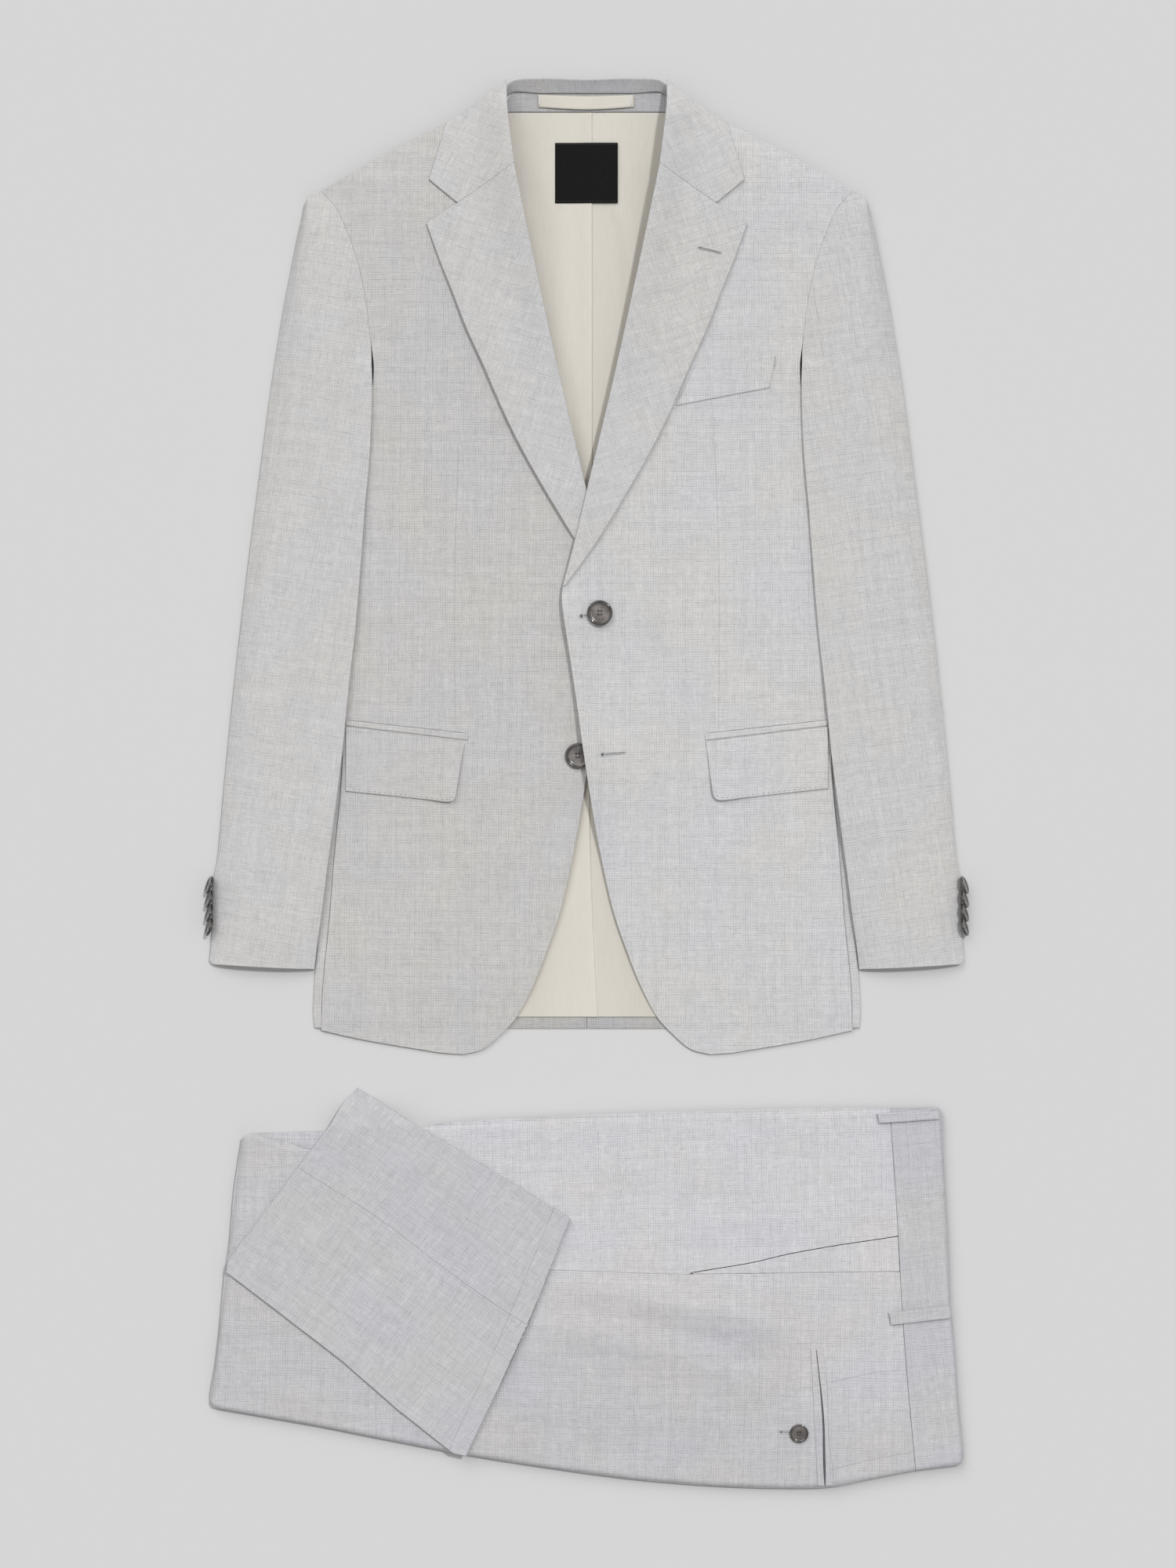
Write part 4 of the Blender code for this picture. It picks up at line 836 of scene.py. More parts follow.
def under_sleeve_floor(u, v):
    """What the sleeve lies on: the jacket's side as far as it reaches, and then the table."""
    over_body = (1 - soft_step(u, *BODY_REACH)) * (1 - soft_step(v, *ARM_REACH))
    return (body_height(u, v) + CLEARANCE + read_table(FLAP_CLEAR, "rise", v)) * over_body


def sleeve(side):
    """The sleeve's two pieces: the upper one domed, over an under one that lies flat.

    Across the sleeve the height is base + (crown - base) * (1 - |2t - 1|^3), and never below the
    under piece, which comes up to it where both are sewn at the head.
    """
    inner = curve(SLEEVE_INNER + ARMHOLE[-2::-1], 500)
    inner = inner + (3 * GAP * (1 - soft_step(inner[:, 1], *ARM_REACH)))[:, None] * (1.0, 0.0)
    outer = curve(SLEEVE_OUTER, 400)
    cuff = curve([tuple(inner[0]), (258.0, 49.6), (292.0, 51.6), (300.6, 52.4), tuple(outer[0])], 200)
    head = curve(SLEEVE_HEAD, 80)
    head[0], head[-1] = inner[-1], outer[-1]
    across = lines(86.0, 2.0)
    grid = patch(cuff, head, inner, outer, lines(620.0, 3.0), across)
    u, v = grid[..., 0], grid[..., 1]
    lower_top = under_sleeve_floor(u, v) + SHELL
    least = lower_top + GAP + FRONT
    start = np.where(v[:, :1] > ARM_REACH[0], body_height(u[:, :1], v[:, :1]), least[:, :1])
    base = np.maximum(start, least[:, :1]) * (1 - across) + SLEEVE_EDGE_TOP * across
    crown = read_table(SLEEVE_SECTIONS, "crown", v)
    dome = base + (np.maximum(crown, base) - base) * (1 - np.abs(2 * across - 1) ** SLEEVE_DOME)
    dome = np.maximum(dome + folds(u, v, SLEEVE_FOLDS[side]), least)
    lower_top = lower_top + (dome - least) * soft_step(v, *HEAD_CLOSE)
    paired("under_sleeve", side, grid[::2], lower_top[::2], SHELL, grain=SLEEVE_GRAIN[side])
    paired("top_sleeve", side, grid, dome, FRONT, grain=SLEEVE_GRAIN[side], rolled=SEWN)


# u, v of the front's buttons and of the cuffs' lowest button.
UPPER_BUTTON = (10.4, 333.3)
LOWER_BUTTON = (-7.2, 219.2)
CUFF_BUTTON = (302.6, 81.9)
# Degrees the cuff buttons lean out from upright, and turn so that each overlaps the next.
CUFF_LEAN = 17.0
CUFF_SHINGLE = 19.0
CUFF_RAISE = 0.5
# Diameter of a thread hole, how far it is from the middle, and the rim's part of the radius.
HOLE = 1.6
HOLE_SPREAD = 2.0
RIM = 0.16
HOLE_DEEP = 1.1
BUTTON_AROUND = 72
# How far below its rim a button's face is dished, as a part of half its thickness.
DISH = 0.45
# The profile past the face, as parts of the radius and of half the thickness: up over the rim,
# down the side and in under it.
BUTTON_PROFILE = [(1 - 2.2 * RIM, DISH), (1 - 1.7 * RIM, DISH * 1.12), (1 - RIM, 0.97), (1 - RIM * 0.7, 1.0),
                  (1 - RIM / 3, 0.86), (0.992, 0.5), (1.0, 0.1), (0.985, -0.3), (0.93, -0.62), (0.78, -0.9),
                  (0.6, -1.0)]


def turned_over(points, degrees):
    """Points turned about x, then y, then z, by the usual sine and cosine of each angle."""
    for axis, angle in enumerate(degrees):
        c, s = math.cos(math.radians(angle)), math.sin(math.radians(angle))
        a, b = (axis + 1) % 3, (axis + 2) % 3
        first, second = points[..., a] * c - points[..., b] * s, points[..., a] * s + points[..., b] * c
        points = points.copy()
        points[..., a], points[..., b] = first, second
    return points


def button(node, size, centre, turn=(0.0, 0.0, 0.0), look="horn"):
    """A button: rings of a profile turned about its axis, with four thread holes as round pits.

    Each hole takes depth * smooth step(1 - distance / hole radius) off the dished face.
    """
    radius, half = size[0] / 2, size[1] / 2
    dish = half * DISH
    flat = np.array([(r, dish) for r in np.linspace(0.15, radius * (1 - 2.3 * RIM), 36)])
    around = [(r * radius, z * half) for r, z in BUTTON_PROFILE]
    profile = np.concatenate([flat, curve(around + [(0.3, -half)], 30)])
    angle = np.linspace(0, 2 * np.pi, BUTTON_AROUND, endpoint=False)
    x, y = profile[:, :1] * np.cos(angle), profile[:, :1] * np.sin(angle)
    z = np.repeat(profile[:, 1:], BUTTON_AROUND, axis=1)
    spread = HOLE_SPREAD * size[0] / FRONT_BUTTON[0]
    for number in range(4):
        where = math.radians(45 + 90 * number)
        away = np.hypot(x - spread * math.cos(where), y - spread * math.sin(where))
        pit = HOLE_DEEP * soft_step(1 - away / (HOLE * size[0] / FRONT_BUTTON[0]), 0.36, 0.64)
        z = z - np.where(np.arange(len(profile))[:, None] < len(flat), pit, 0.0)
    rings = turned_over(np.stack([x, y, z], axis=-1), turn) + centre
    first, last = (turned_over(np.array([0.0, 0.0, z]), turn) + centre for z in (dish, -half))
    mesh = ring_form(node, rings, first, last)[0]
    add_values(mesh, "rim", np.concatenate([np.repeat(profile[:, 0] / radius, BUTTON_AROUND), [0.0, 0.0]]))
    return add_piece(f"{node}_horn", mesh, look, [node])


def button_seat(u, v, side, radius):
    """The highest point of the cloth under a button's disc."""
    du, dv = np.meshgrid(np.linspace(-radius, radius, 9), np.linspace(-radius, radius, 9))
    return float(front_height(side * u + du, v + dv, side).max())


def jacket_buttons():
    """The front's two buttons on the cloth, and each cuff's four edge on at the sleeve's back."""
    for name, (u, v), side in (("front_button_upper", UPPER_BUTTON, 1),
                               ("front_button_lower", LOWER_BUTTON, -1)):
        seat = button_seat(u, v, side, FRONT_BUTTON[0] / 2)
        centre = (JACKET_X + u, JACKET_Y + v, seat + GAP + FRONT_BUTTON[1] / 2)
        button(name, FRONT_BUTTON, centre)
        cross_threads(f"{name}_thread", centre, FRONT_BUTTON)
    for side in (1, -1):
        for number in range(4):
            v = CUFF_BUTTON[1] + CUFF_PITCH * number
            centre = (JACKET_X + side * CUFF_BUTTON[0], JACKET_Y + v, SMALL_BUTTON[0] / 2 + CUFF_RAISE)
            button(side_name(f"cuff_button_{number + 1}", side), SMALL_BUTTON, centre,
                   (0.0, side * (90 - CUFF_LEAN), side * CUFF_SHINGLE), "horn_dark")


def tube(name, path, radius, look="thread", closed=False):
    """A round bead of thread along a path, thinning to a point at open ends.

    Each ring is path + r * (cos a * across + sin a * up), with across square to the path in plan.
    """
    path = np.array(path, float)
    count = len(path)
    along = np.gradient(path[:, :2], axis=0)
    if closed:
        along = np.roll(path[:, :2], -1, axis=0) - np.roll(path[:, :2], 1, axis=0)
    along /= np.linalg.norm(along, axis=1)[:, None]
    across = np.stack([-along[:, 1], along[:, 0], np.zeros(count)], axis=-1)
    angle = np.linspace(0, 2 * np.pi, 10, endpoint=False)
    place = np.linspace(0, 1, count)
    thin = np.ones(count) if closed else np.sqrt(np.clip(1 - np.abs(2 * place - 1) ** 6, 0.02, 1))
    rings = (path[:, None] + (radius * thin)[:, None, None]
             * (np.cos(angle)[None, :, None] * across[:, None] + np.sin(angle)[None, :, None] * (0, 0, 1)))
    if closed:
        index = np.arange(count * 10).reshape(count, 10)
        after, follow = np.roll(index, -1, axis=0), np.roll(index, -1, axis=1)
        quads = np.stack([index, follow, np.roll(follow, -1, axis=0), after], axis=-1).reshape(-1, 4)
        mesh, corners = make_mesh(name, rings.reshape(-1, 3) * MM, quads)
        turns = np.cumsum(np.linalg.norm(np.diff(path, axis=0, append=path[:1]), axis=1))
    else:
        mesh, corners = ring_form(name, rings, path[0], path[-1])
        turns = np.cumsum(np.linalg.norm(np.diff(path, axis=0, prepend=path[:1]), axis=1))
    flat = np.stack([np.repeat(turns, 10), np.tile(angle, count)], axis=-1)
    if not closed:
        flat = np.concatenate([flat, [[0, 0], [turns[-1], 0]]])
    add_uv(mesh, corners, flat * MM)
    return add_piece(name, mesh, look, [])


def cross_threads(name, centre, size):
    """Two straight stitches over the button's four holes, side by side."""
    x, y, z = centre
    spread = HOLE_SPREAD * size[0] / FRONT_BUTTON[0] * 0.707
    top = z + size[1] * 0.225
    for number, dy in enumerate((-spread, spread)):
        t = np.linspace(-1, 1, 17)
        path = np.stack([x + t * spread * 1.05, y + dy + 0 * t, top + 0.3 * (1 - t**2) - 0.25], axis=-1)
        tube(f"{name}_{number + 1}", path, 0.32 * size[0] / FRONT_BUTTON[0], "dark_thread_and_eye_shade")


def on_front(path, side, lift):
    """A path in u and v laid on a front, in the object's frame, lift above the cloth."""
    return raised(place_jacket(path, side), over_front(path, side) + lift)


def stitches(name, path, pitch, size, look="wool_thread"):
    """A row of short stitches as ellipsoids along a path, all in one mesh.

    Stitch k sits at (k + 1/2) * pitch along the path, its long axis along the path.
    """
    run = path_run(path)
    at = (np.arange(int(run[-1] / pitch)) + 0.5) * pitch
    middle = np.stack([np.interp(at, run, path[:, i]) for i in range(3)], axis=1)
    ahead = np.stack([np.interp(at + 0.5, run, path[:, i]) for i in range(3)], axis=1)
    along = ahead - middle
    along /= np.linalg.norm(along, axis=1)[:, None]
    across = np.stack([-along[:, 1], along[:, 0], 0 * along[:, 0]], axis=1)
    across /= np.linalg.norm(across, axis=1)[:, None]
    up = np.cross(along, across)
    lat, lon = np.linspace(0, np.pi, 7)[1:-1], np.linspace(0, 2 * np.pi, 8, endpoint=False)
    ring = np.stack([np.cos(lat)[:, None] + 0 * lon, np.sin(lat)[:, None] * np.cos(lon),
                     np.sin(lat)[:, None] * np.sin(lon)], axis=-1).reshape(-1, 3)
    unit = np.concatenate([ring, [[1, 0, 0], [-1, 0, 0]]]) * size
    points = (middle[:, None] + unit[None, :, :1] * along[:, None] + unit[None, :, 1:2] * across[:, None]
              + unit[None, :, 2:] * up[:, None])
    index = np.arange(40).reshape(5, 8)
    follow = np.roll(index, -1, axis=1)
    quads = np.stack([index[:-1], index[1:], follow[1:], follow[:-1]], axis=-1).reshape(-1, 4)
    ends = np.concatenate([np.stack([np.full(8, 40), index[0], follow[0]], axis=-1),
                           np.stack([np.full(8, 41), follow[-1], index[-1]], axis=-1)])
    shift = (42 * np.arange(len(at)))[:, None, None]
    mesh, corners = make_mesh(name, points.reshape(-1, 3) * MM, (quads + shift).reshape(-1, 4),
                              (ends + shift).reshape(-1, 3))
    add_uv(mesh, corners, points.reshape(-1, 3)[:, :2] * MM)
    return add_piece(name, mesh, look, [])


def buttonhole(name, start, end, surface, width, eye):
    """A worked buttonhole: a narrow ring of thread, wider by eye at its start, with its slit and keyhole eye
    as dark beads of painted shade.

    Its outline is width * sqrt(1 - (2t - 1)^8) to either side of the line from start to end.
    """
    start, end = np.array(start, float), np.array(end, float)
    long = np.linalg.norm(end - start)
    along = (end - start) / long
    across = np.array([-along[1], along[0]])
    t = np.linspace(0, 1, 60)
    half = width * np.sqrt(np.clip(1 - np.abs(2 * t - 1) ** 8, 0, 1))
    half = half + eye * np.exp(-((t * long - 2.2) / 1.6) ** 2)
    half[0] = half[-1] = 0.0
    upper, lower = (start + (end - start) * t[:, None] + way * across * half[:, None] for way in (1, -1))
    loop = np.concatenate([upper, lower[-2:0:-1]])
    tube(name, surface(loop), 0.3 * width + 0.06, "wool_thread", closed=True)
    # The slit: a dark bead of painted shade, sunk a little into the cloth.
    slit = start + (end - start) * np.linspace(0.08, 0.95, 30)[:, None]
    laid = surface(slit)
    laid[:, 2] -= 0.12
    tube(f"{name}_slit", laid, 0.17, "slit_painted_shade")
    # The keyhole eye: a near-black bead of painted shade, in the same material as the dark thread on the
    # buttons and label.
    laid = surface(start + along * (1.3 + 1.5 * np.linspace(0, 1, 12)[:, None]))
    tube(f"{name}_eye", laid, 0.95 * eye, "dark_thread_and_eye_shade")


# The buttonholes on the wearer's left, as u, v of their two ends, which cloth they lie on, and the
# eye's size.
BUTTONHOLES = {
    "buttonhole_lower": ((10.6, 219.9), (31.4, 221.8), "front", 0.9),
    "buttonhole_upper": ((-6.4, 330.6), (8.0, 332.6), "front", 1.1),
    "buttonhole_lapel": ((88.6, 625.2), (107.6, 620.6), "lapel", 0.3),
}
# How far apart the edge's pick stitches are, and their size along, across and up.
PICK_PITCH = 3.4
PICK = (0.7, 0.2, 0.16)


def jacket_sewing():
    """The jacket's buttonholes, pick stitches, dark beads of painted shade along the jets' seams, tacks and
    the label's stitches.
    """
    def on_left(path):
        """A path on the left front."""
        return on_front(path, 1, 0.35)

    def on_lapel(path):
        """A path on the left lapel."""
        return on_front(path, 1, LAY + FRONT + 0.35 + lapel_stand(path, 1))

    def framed(surface):
        """The same surface for a path in the object's x and y."""
        return lambda flat: surface(flat - (JACKET_X, JACKET_Y))

    surfaces = {"front": framed(on_left), "lapel": framed(on_lapel)}
    for name, (start, end, cloth_under, eye) in BUTTONHOLES.items():
        buttonhole(name, placed(start, 1), placed(end, 1), surfaces[cloth_under], width=0.8, eye=eye)
    for side in (1, -1):
        row = moved(curve(FLAP_LOW[side], 400), 1.4, 2.2)
        row = row[row[:, 0] < POCKET_END - 1.0]
        laid = on_front(row, side, FLAP_RAISE + flap_lift(row[:, 0], row[:, 1]))
        stitches(side_name("flap_stitches", side), laid, 4.2, (0.9, 0.24, 0.16), "dark_stitch_and_jet_shade")
        # A dark bead of painted shade along the seam above each jet, in the material of the flaps' dark
        # stitches.
        sewn = polyline([(95.2, 237.2), (POCKET_END, 248.1)], 200)
        tube(side_name("jet_seam_shade", side), on_front(sewn, side, 0.05), 0.26, "dark_stitch_and_jet_shade")
        edge = moved(curve(FRONT_EDGE[2:], 900), 2.6, 0.6)
        stitches(side_name("front_edge_stitches", side), on_front(edge, side, 0.0), PICK_PITCH, PICK)
        rim = moved(curve(LAPEL_EDGE[:-2], 900), -2.4, 0.8)
        laid = on_front(rim, side, LAY + FRONT + lapel_stand(rim, side))
        stitches(side_name("lapel_stitches", side), laid, PICK_PITCH, PICK)
    tack = polyline([(150.6, 539.0), (150.0, 530.5)])
    tube("welt_tack", on_front(tack, 1, GAP + JET_RAISE), 0.5, "wool_thread")
    for name, u in (("loop_tack_left", 35.6), ("loop_tack_right", -38.0)):
        t = np.linspace(0, 1, 30)
        path = np.stack([JACKET_X + u + 0 * t, JACKET_Y + 740.9 + 8.6 * t, LOOP_TOP + 0.4 + 0 * t], axis=-1)
        tube(name, path, 0.8, "thread")
    for name, v in (("label_stitches_upper", 709.9), ("label_stitches_lower", 664.2)):
        path = np.array([(u, v) for u in np.linspace(-24.6, 24.0, 60)])
        laid = raised(place_jacket(path, 1), label_top(path[:, 0], path[:, 1]))
        stitches(name, laid, 2.2, (0.8, 0.2, 0.2), "dark_thread_and_eye_shade")


def edge_distance(x, y, outline):
    """Distance from points to a closed outline, positive inside, where an odd number of edges lie right."""
    start = np.array(outline, float)
    along = np.roll(start, -1, axis=0) - start
    dx, dy = x[..., None] - start[:, 0], y[..., None] - start[:, 1]
    t = np.clip((dx * along[:, 0] + dy * along[:, 1]) / (along**2).sum(-1), 0, 1)
    nearest = np.hypot(dx - t * along[:, 0], dy - t * along[:, 1]).min(-1)
    end_y = start[:, 1] + along[:, 1]
    crosses = (start[:, 1] > y[..., None]) != (end_y > y[..., None])
    rise = np.where(along[:, 1] == 0, 1.0, along[:, 1])
    reach = start[:, 0] + dy * along[:, 0] / rise
    inside = (crosses & (x[..., None] < reach)).sum(-1) % 2 == 1
    return np.where(inside, nearest, -nearest)


# Rings of the pile's edge, from the table up: (distance in from the trousers' outline, height).
PILE_RINGS = [(60.0, 0.0), (5.0, 0.0), (4.1, 0.1), (3.6, 0.35), (3.3, 0.8), (3.2, 1.3), (3.3, 1.9),
              (3.7, 2.2), (4.2, 2.4), (3.7, 2.6), (3.3, 2.9), (3.2, 3.4), (3.4, 3.8), (4.6, 4.4),
              (7.0, 5.8), (13.0, 7.5), (20.0, PILE_TOP), (60.0, PILE_TOP)]
# The pile's half height in plan, and the distance in from which a ring is the outline shrunk.
PILE_HALF = 150.0
INSET_MOST = 30.0
# The upper panels' height at the outline, how far in they are rounded, and how far they are raised
# so that their troughs stay above the pile.
PANEL_EDGE = 5.6
PANEL_ROUND = 1.6
FOLD_CLEAR = 2.0
# Folds of the trousers as (points in x and y, half width, rise).
TROUSER_FOLDS = [
    ([(-60, -300), (40, -304), (150, -300)], 14, 0.7), ([(-20, -330), (80, -336), (190, -330)], 12, -0.7),
    ([(60, -360), (150, -350), (230, -340)], 8, 0.5), ([(-40, -420), (60, -424), (150, -420)], 12, 0.7),
    ([(-60, -450), (40, -460), (140, -462)], 14, -0.8), ([(-90, -492), (10, -500), (120, -504)], 13, 0.8),
    ([(-60, -524), (40, -534), (140, -540)], 12, -0.7), ([(-272, -320), (-262, -360), (-266, -400)], 8, 0.6),
    ([(-270, -430), (-240, -462), (-200, -490)], 12, -0.8),
    ([(-286, -470), (-250, -490), (-214, -506)], 9, 0.6),
    ([(200, -420), (214, -460), (222, -520)], 10, -0.5), ([(120, -400), (150, -440), (160, -500)], 14, 0.6),
    ([(-50, -396), (30, -406), (110, -424), (196, -452)], 9, 1.9),
    ([(-60, -414), (20, -426), (100, -446), (176, -474)], 8, -2.0),
    ([(-50, -436), (30, -450), (110, -472), (164, -494)], 9, 1.7),
    ([(-280, -277), (-254, -285), (-206, -296)], 2.2, -1.3),
]
WAIST_DARTS = [[(193.9, -479.7), (229.2, -471.6), (254.4, -469.7)],
               [(196.4, -549.0), (229.2, -540.9), (260.7, -535.2)]]


def inset(points, distance):
    """A closed outline's points moved inwards along its normals; the outline runs clockwise."""
    along = np.roll(points, -1, axis=0) - np.roll(points, 1, axis=0)
    along /= np.linalg.norm(along, axis=1)[:, None]
    return points + np.stack([along[:, 1], -along[:, 0]], axis=1) * distance


def trouser_pile():
    """The trousers' hidden layers as one rounded slab: rings inside the outline, layered at the edge.

    A ring far in is the outline shrunk towards the middle by its distance over the half height.
    """
    outline = polyline(TROUSER_OUTLINE + TROUSER_OUTLINE[:1], 541)[:-1]
    middle = outline.mean(axis=0)
    rings = []
    for distance, height in PILE_RINGS:
        shrunk = middle + (outline - middle) * (1 - distance / PILE_HALF)
        ring = inset(outline, distance) if distance < INSET_MOST else shrunk
        rings.append(raised(place_trousers(ring), height))
    rings = np.array(rings)[:, ::-1]
    first, last = (np.append(place_trousers(middle), h) for h in (0.0, PILE_TOP))
    mesh, corners = ring_form("trouser_pile", rings, first, last)
    points = np.concatenate([rings.reshape(-1, 3), [first, last]])
    add_uv(mesh, corners, np.stack([points[:, 0], points[:, 1] + points[:, 2]], axis=-1) * MM)
    unsewn(mesh, len(points))
    piece = add_piece("trouser_pile_cloth", mesh, "wool_blue", ["trouser_pile"])
    declare_sheet(outline)


def cover_height(grid, thick):
    """Top of a layer over the pile: full - (full - edge) * exp(-(distance in / round)^2), and its folds."""
    x, y = grid[..., 0], grid[..., 1]
    away = edge_distance(x, y, TROUSER_OUTLINE)
    full = PILE_TOP + GAP + thick
    fall = np.exp(-(np.clip(away, 0, None) / PANEL_ROUND) ** 2)
    level = full - (full - PANEL_EDGE) * fall
    return level + FOLD_CLEAR * (1 - fall) + folds(x, y, TROUSER_FOLDS) * (1 - fall)


# Degrees by which each trouser piece's weave is turned.
TROUSER_GRAIN = {"front": 91.0, "back": 89.0, "band": 95.0, "leg": 54.0, "facing": 90.0, "jet": 2.0}


def trouser_cloth(node, grid, height, thick, grain, look="wool_blue", **more):
    """A piece of the trousers' cloth from a grid in x and y."""
    turned = TROUSER_GRAIN[grain]
    return cloth(node, place_trousers(grid), height, thick, look, "trouser_wool", turned, **more)


def cover(node, grid, grain, seams=()):
    """An upper panel of the trousers, laid over the pile."""
    height = cover_height(grid, PANEL)
    trouser_cloth(node, grid, height, PANEL, grain, "wool_trouser_painted_light", seams=seams, rolled=SEWN)


def outline_run(first, last):
    """The outline's points from index first to last, clockwise."""
    count = len(TROUSER_OUTLINE)
    return [TROUSER_OUTLINE[(first + k) % count] for k in range((last - first) % count + 1)]


def trouser_panels():
    """The upper leg's front and back as they show, the slant pocket and the waistband."""
    seam_left = curve(SIDE_SEAM, 400)
    slant = curve(POCKET_SLANT, 200)
    band = curve(BAND_SEAM, 400)
    up = moved(band[::-1], -JOIN)
    band_upper = up[up[:, 1] > slant[-1, 1] + JOIN]
    band_lower = up[up[:, 1] < seam_left[-1, 1] - JOIN]
    edge_top = curve(LAYER_EDGE[1:] + outline_run(5, 7) + [(242.0, -260.2)], 700)
    low = np.concatenate([moved(seam_left[seam_left[:, 0] < slant[0, 0] - 1.0], 0, JOIN),
                          moved(slant, 0.0, GAP)])
    low = polyline(low, 700)
    fold = curve([(-291.0, -389.8), (-288.0, -370.0), (-284.0, -325.0), tuple(edge_top[0])], 200)
    low[0], low[-1] = fold[0], band_upper[0]
    edge_top[-1] = band_upper[-1]
    grid = patch(low, edge_top, fold, band_upper, lines(128.0, 2.6), lines(530.0, 3.0))
    cover("trouser_front", grid, "front")
    bottom = curve(outline_run(18, 28)[::-1], 700)
    top = moved(polyline(seam_left, 700), 0.0, -JOIN)
    left = curve([tuple(bottom[0]), (-303.2, -495.0), (-298.2, -460.2), tuple(top[0])], 200)
    bottom[-1], top[-1] = band_lower[0], band_lower[-1]
    darts = [place_trousers(np.array(path, float)) for path in WAIST_DARTS]
    grid = patch(bottom, top, left, band_lower, lines(150.0, 2.6), lines(555.0, 3.0))
    cover("trouser_back", grid, "back", darts)
    facing_low = polyline(moved(seam_left[seam_left[:, 0] > slant[0, 0]], 0.0, JOIN), 200)
    facing_high = polyline(moved(slant, 0.0, -GAP), 200)
    for side in (facing_low, facing_high):
        side[-1, 0] = np.interp(side[-1, 1], band[::-1, 1], band[::-1, 0]) - JOIN
    grid = stacked(facing_low, facing_high, lines(28.0, 1.6), lines(164.0, 2.0))
    height = cover_height(grid, PANEL) - GAP
    trouser_cloth("pocket_facing", grid, height, PANEL - GAP, "facing", "wool_trouser_painted_light")
    waist = curve(outline_run(8, 17), 400)
    inner = band + (JOIN, 0.0)
    grid = between(inner[::-1], waist[::-1], lines(290.0, 2.6), lines(38.0, 2.0))
    trouser_cloth("waistband", grid, cover_height(grid, BAND_THICK), BAND_THICK, "band", rolled=SEWN)


# Between which distances in from the pile's outline the leg comes up from the table.
LEG_DROOP = (-26.0, 1.0)
# How far the leg's underside is above the table there, and above the folds beneath it.
LEG_FOOT = 0.2
LEG_LIFT = 0.5
# Folds of the folded-up leg, and the line of its turned hem.
LEG_FOLDS = [([(-250, -390), (-200, -350), (-150, -320)], 9, 0.7),
             ([(-220, -420), (-160, -380), (-100, -350)], 10, -0.7),
             ([(-190, -440), (-140, -410), (-90, -396)], 9, 0.6),
             ([(-230, -340), (-210, -350), (-180, -330)], 8, -0.5),
             ([(-150, -470), (-120, -440), (-80, -430)], 9, 0.5),
             ([(-190, -290), (-130, -310), (-60, -350)], 12, 0.5)]
LEG_HEM_LINE = [(-28.3, -342.0), (-51.5, -397.8), (-82.0, -470.0), (-110.0, -530.0)]


def leg_height(grid):
    """Top of the folded-up leg: parallel to the layer it lies on, and down to the table past the pile."""
    x, y = grid[..., 0], grid[..., 1]
    away = edge_distance(x, y, TROUSER_OUTLINE)
    on_pile = soft_step(away, *LEG_DROOP)
    rest = PANEL_TOP + FOLD_CLEAR + LAY + LEG_LIFT + folds(x, y, TROUSER_FOLDS)
    return LEG_FOOT + (rest - LEG_FOOT) * on_pile + LEG_THICK + folds(x, y, LEG_FOLDS)


def folded_leg():
    """The other leg, folded up across the pile: each half is two walls thick, parted by its seam."""
    seam = curve(LEG_SEAM, 400)
    crease = curve(LEG_CREASE, 600)
    split = int(np.argmin(np.linalg.norm(crease - seam[0], axis=1)))
    seam[0] = crease[split]
    hem = polyline(LEG_HEM, 600)
    part = int(np.argmin(np.linalg.norm(hem - seam[-1], axis=1)))
    seam[-1] = hem[part]
    line = [place_trousers(np.array(LEG_HEM_LINE))]
    upper_low, upper_high = moved(seam, 0.0, JOIN), polyline(LEG_UPPER, 400)
    left, right = polyline(crease[split:], 300), polyline(hem[:part + 1][::-1], 300)
    lower_high, lower_low = moved(seam, 0.0, -JOIN), polyline(LEG_LOWER + LEG_HEM[-1:], 400)
    left_low, right_low = polyline(crease[:split + 1], 300), polyline(hem[part:][::-1], 300)
    for node, low, high, start, end in (("folded_leg_front", upper_low, upper_high, left, right),
                                        ("folded_leg_back", lower_low, lower_high, left_low, right_low)):
        start[0], end[0] = low[0], low[-1]
        start[-1], end[-1] = high[0], high[-1]
        grid = patch(low, high, start, end, lines(90.0, 2.0), lines(230.0, 2.4))
        trouser_cloth(node, grid, leg_height(grid), LEG_THICK, "leg", seams=line, rolled=SEWN)


# x, y of each belt loop's corners: low left and right, then high left and right.
BELT_LOOPS = {
    "belt_loop_front": [(232.9, -271.8), (281.6, -268.4), (231.1, -263.7), (280.6, -261.4)],
    "belt_loop_side": [(242.4, -433.1), (291.0, -427.5), (240.5, -423.0), (290.0, -418.0)],
}
LOOP_THICK = 1.2
# x, y down the back pocket: its left edge, its slit and its right edge.
POCKET_LEFT = [(178.1, -451.4), (181.0, -508.0), (183.8, -562.6)]
POCKET_SLIT = [(182.5, -452.7), (186.3, -487.9), (188.2, -511.2), (188.8, -538.3), (189.5, -562.6)]
POCKET_RIGHT = [(187.6, -451.4), (191.4, -482.9), (192.0, -511.2), (193.3, -532.7), (195.8, -549.7),
                (195.8, -562.2)]
POCKET_BUTTON = (168.7, -520.1)
JET = 0.9
# The back pocket's opening, drawn as a near-black bead of painted shade: how far it lies below the jets'
# tops, and its half width by y.
SLIT_DEPTH = 0.25
SLIT_WIDTH = [(-562.6, -545.0, -500.0, -470.0, -452.7), (0.9, 1.15, 0.75, 0.3, 0.2)]
# How much further the belt loops stand off the waistband than they need to.
LOOP_LIFT = 0.8


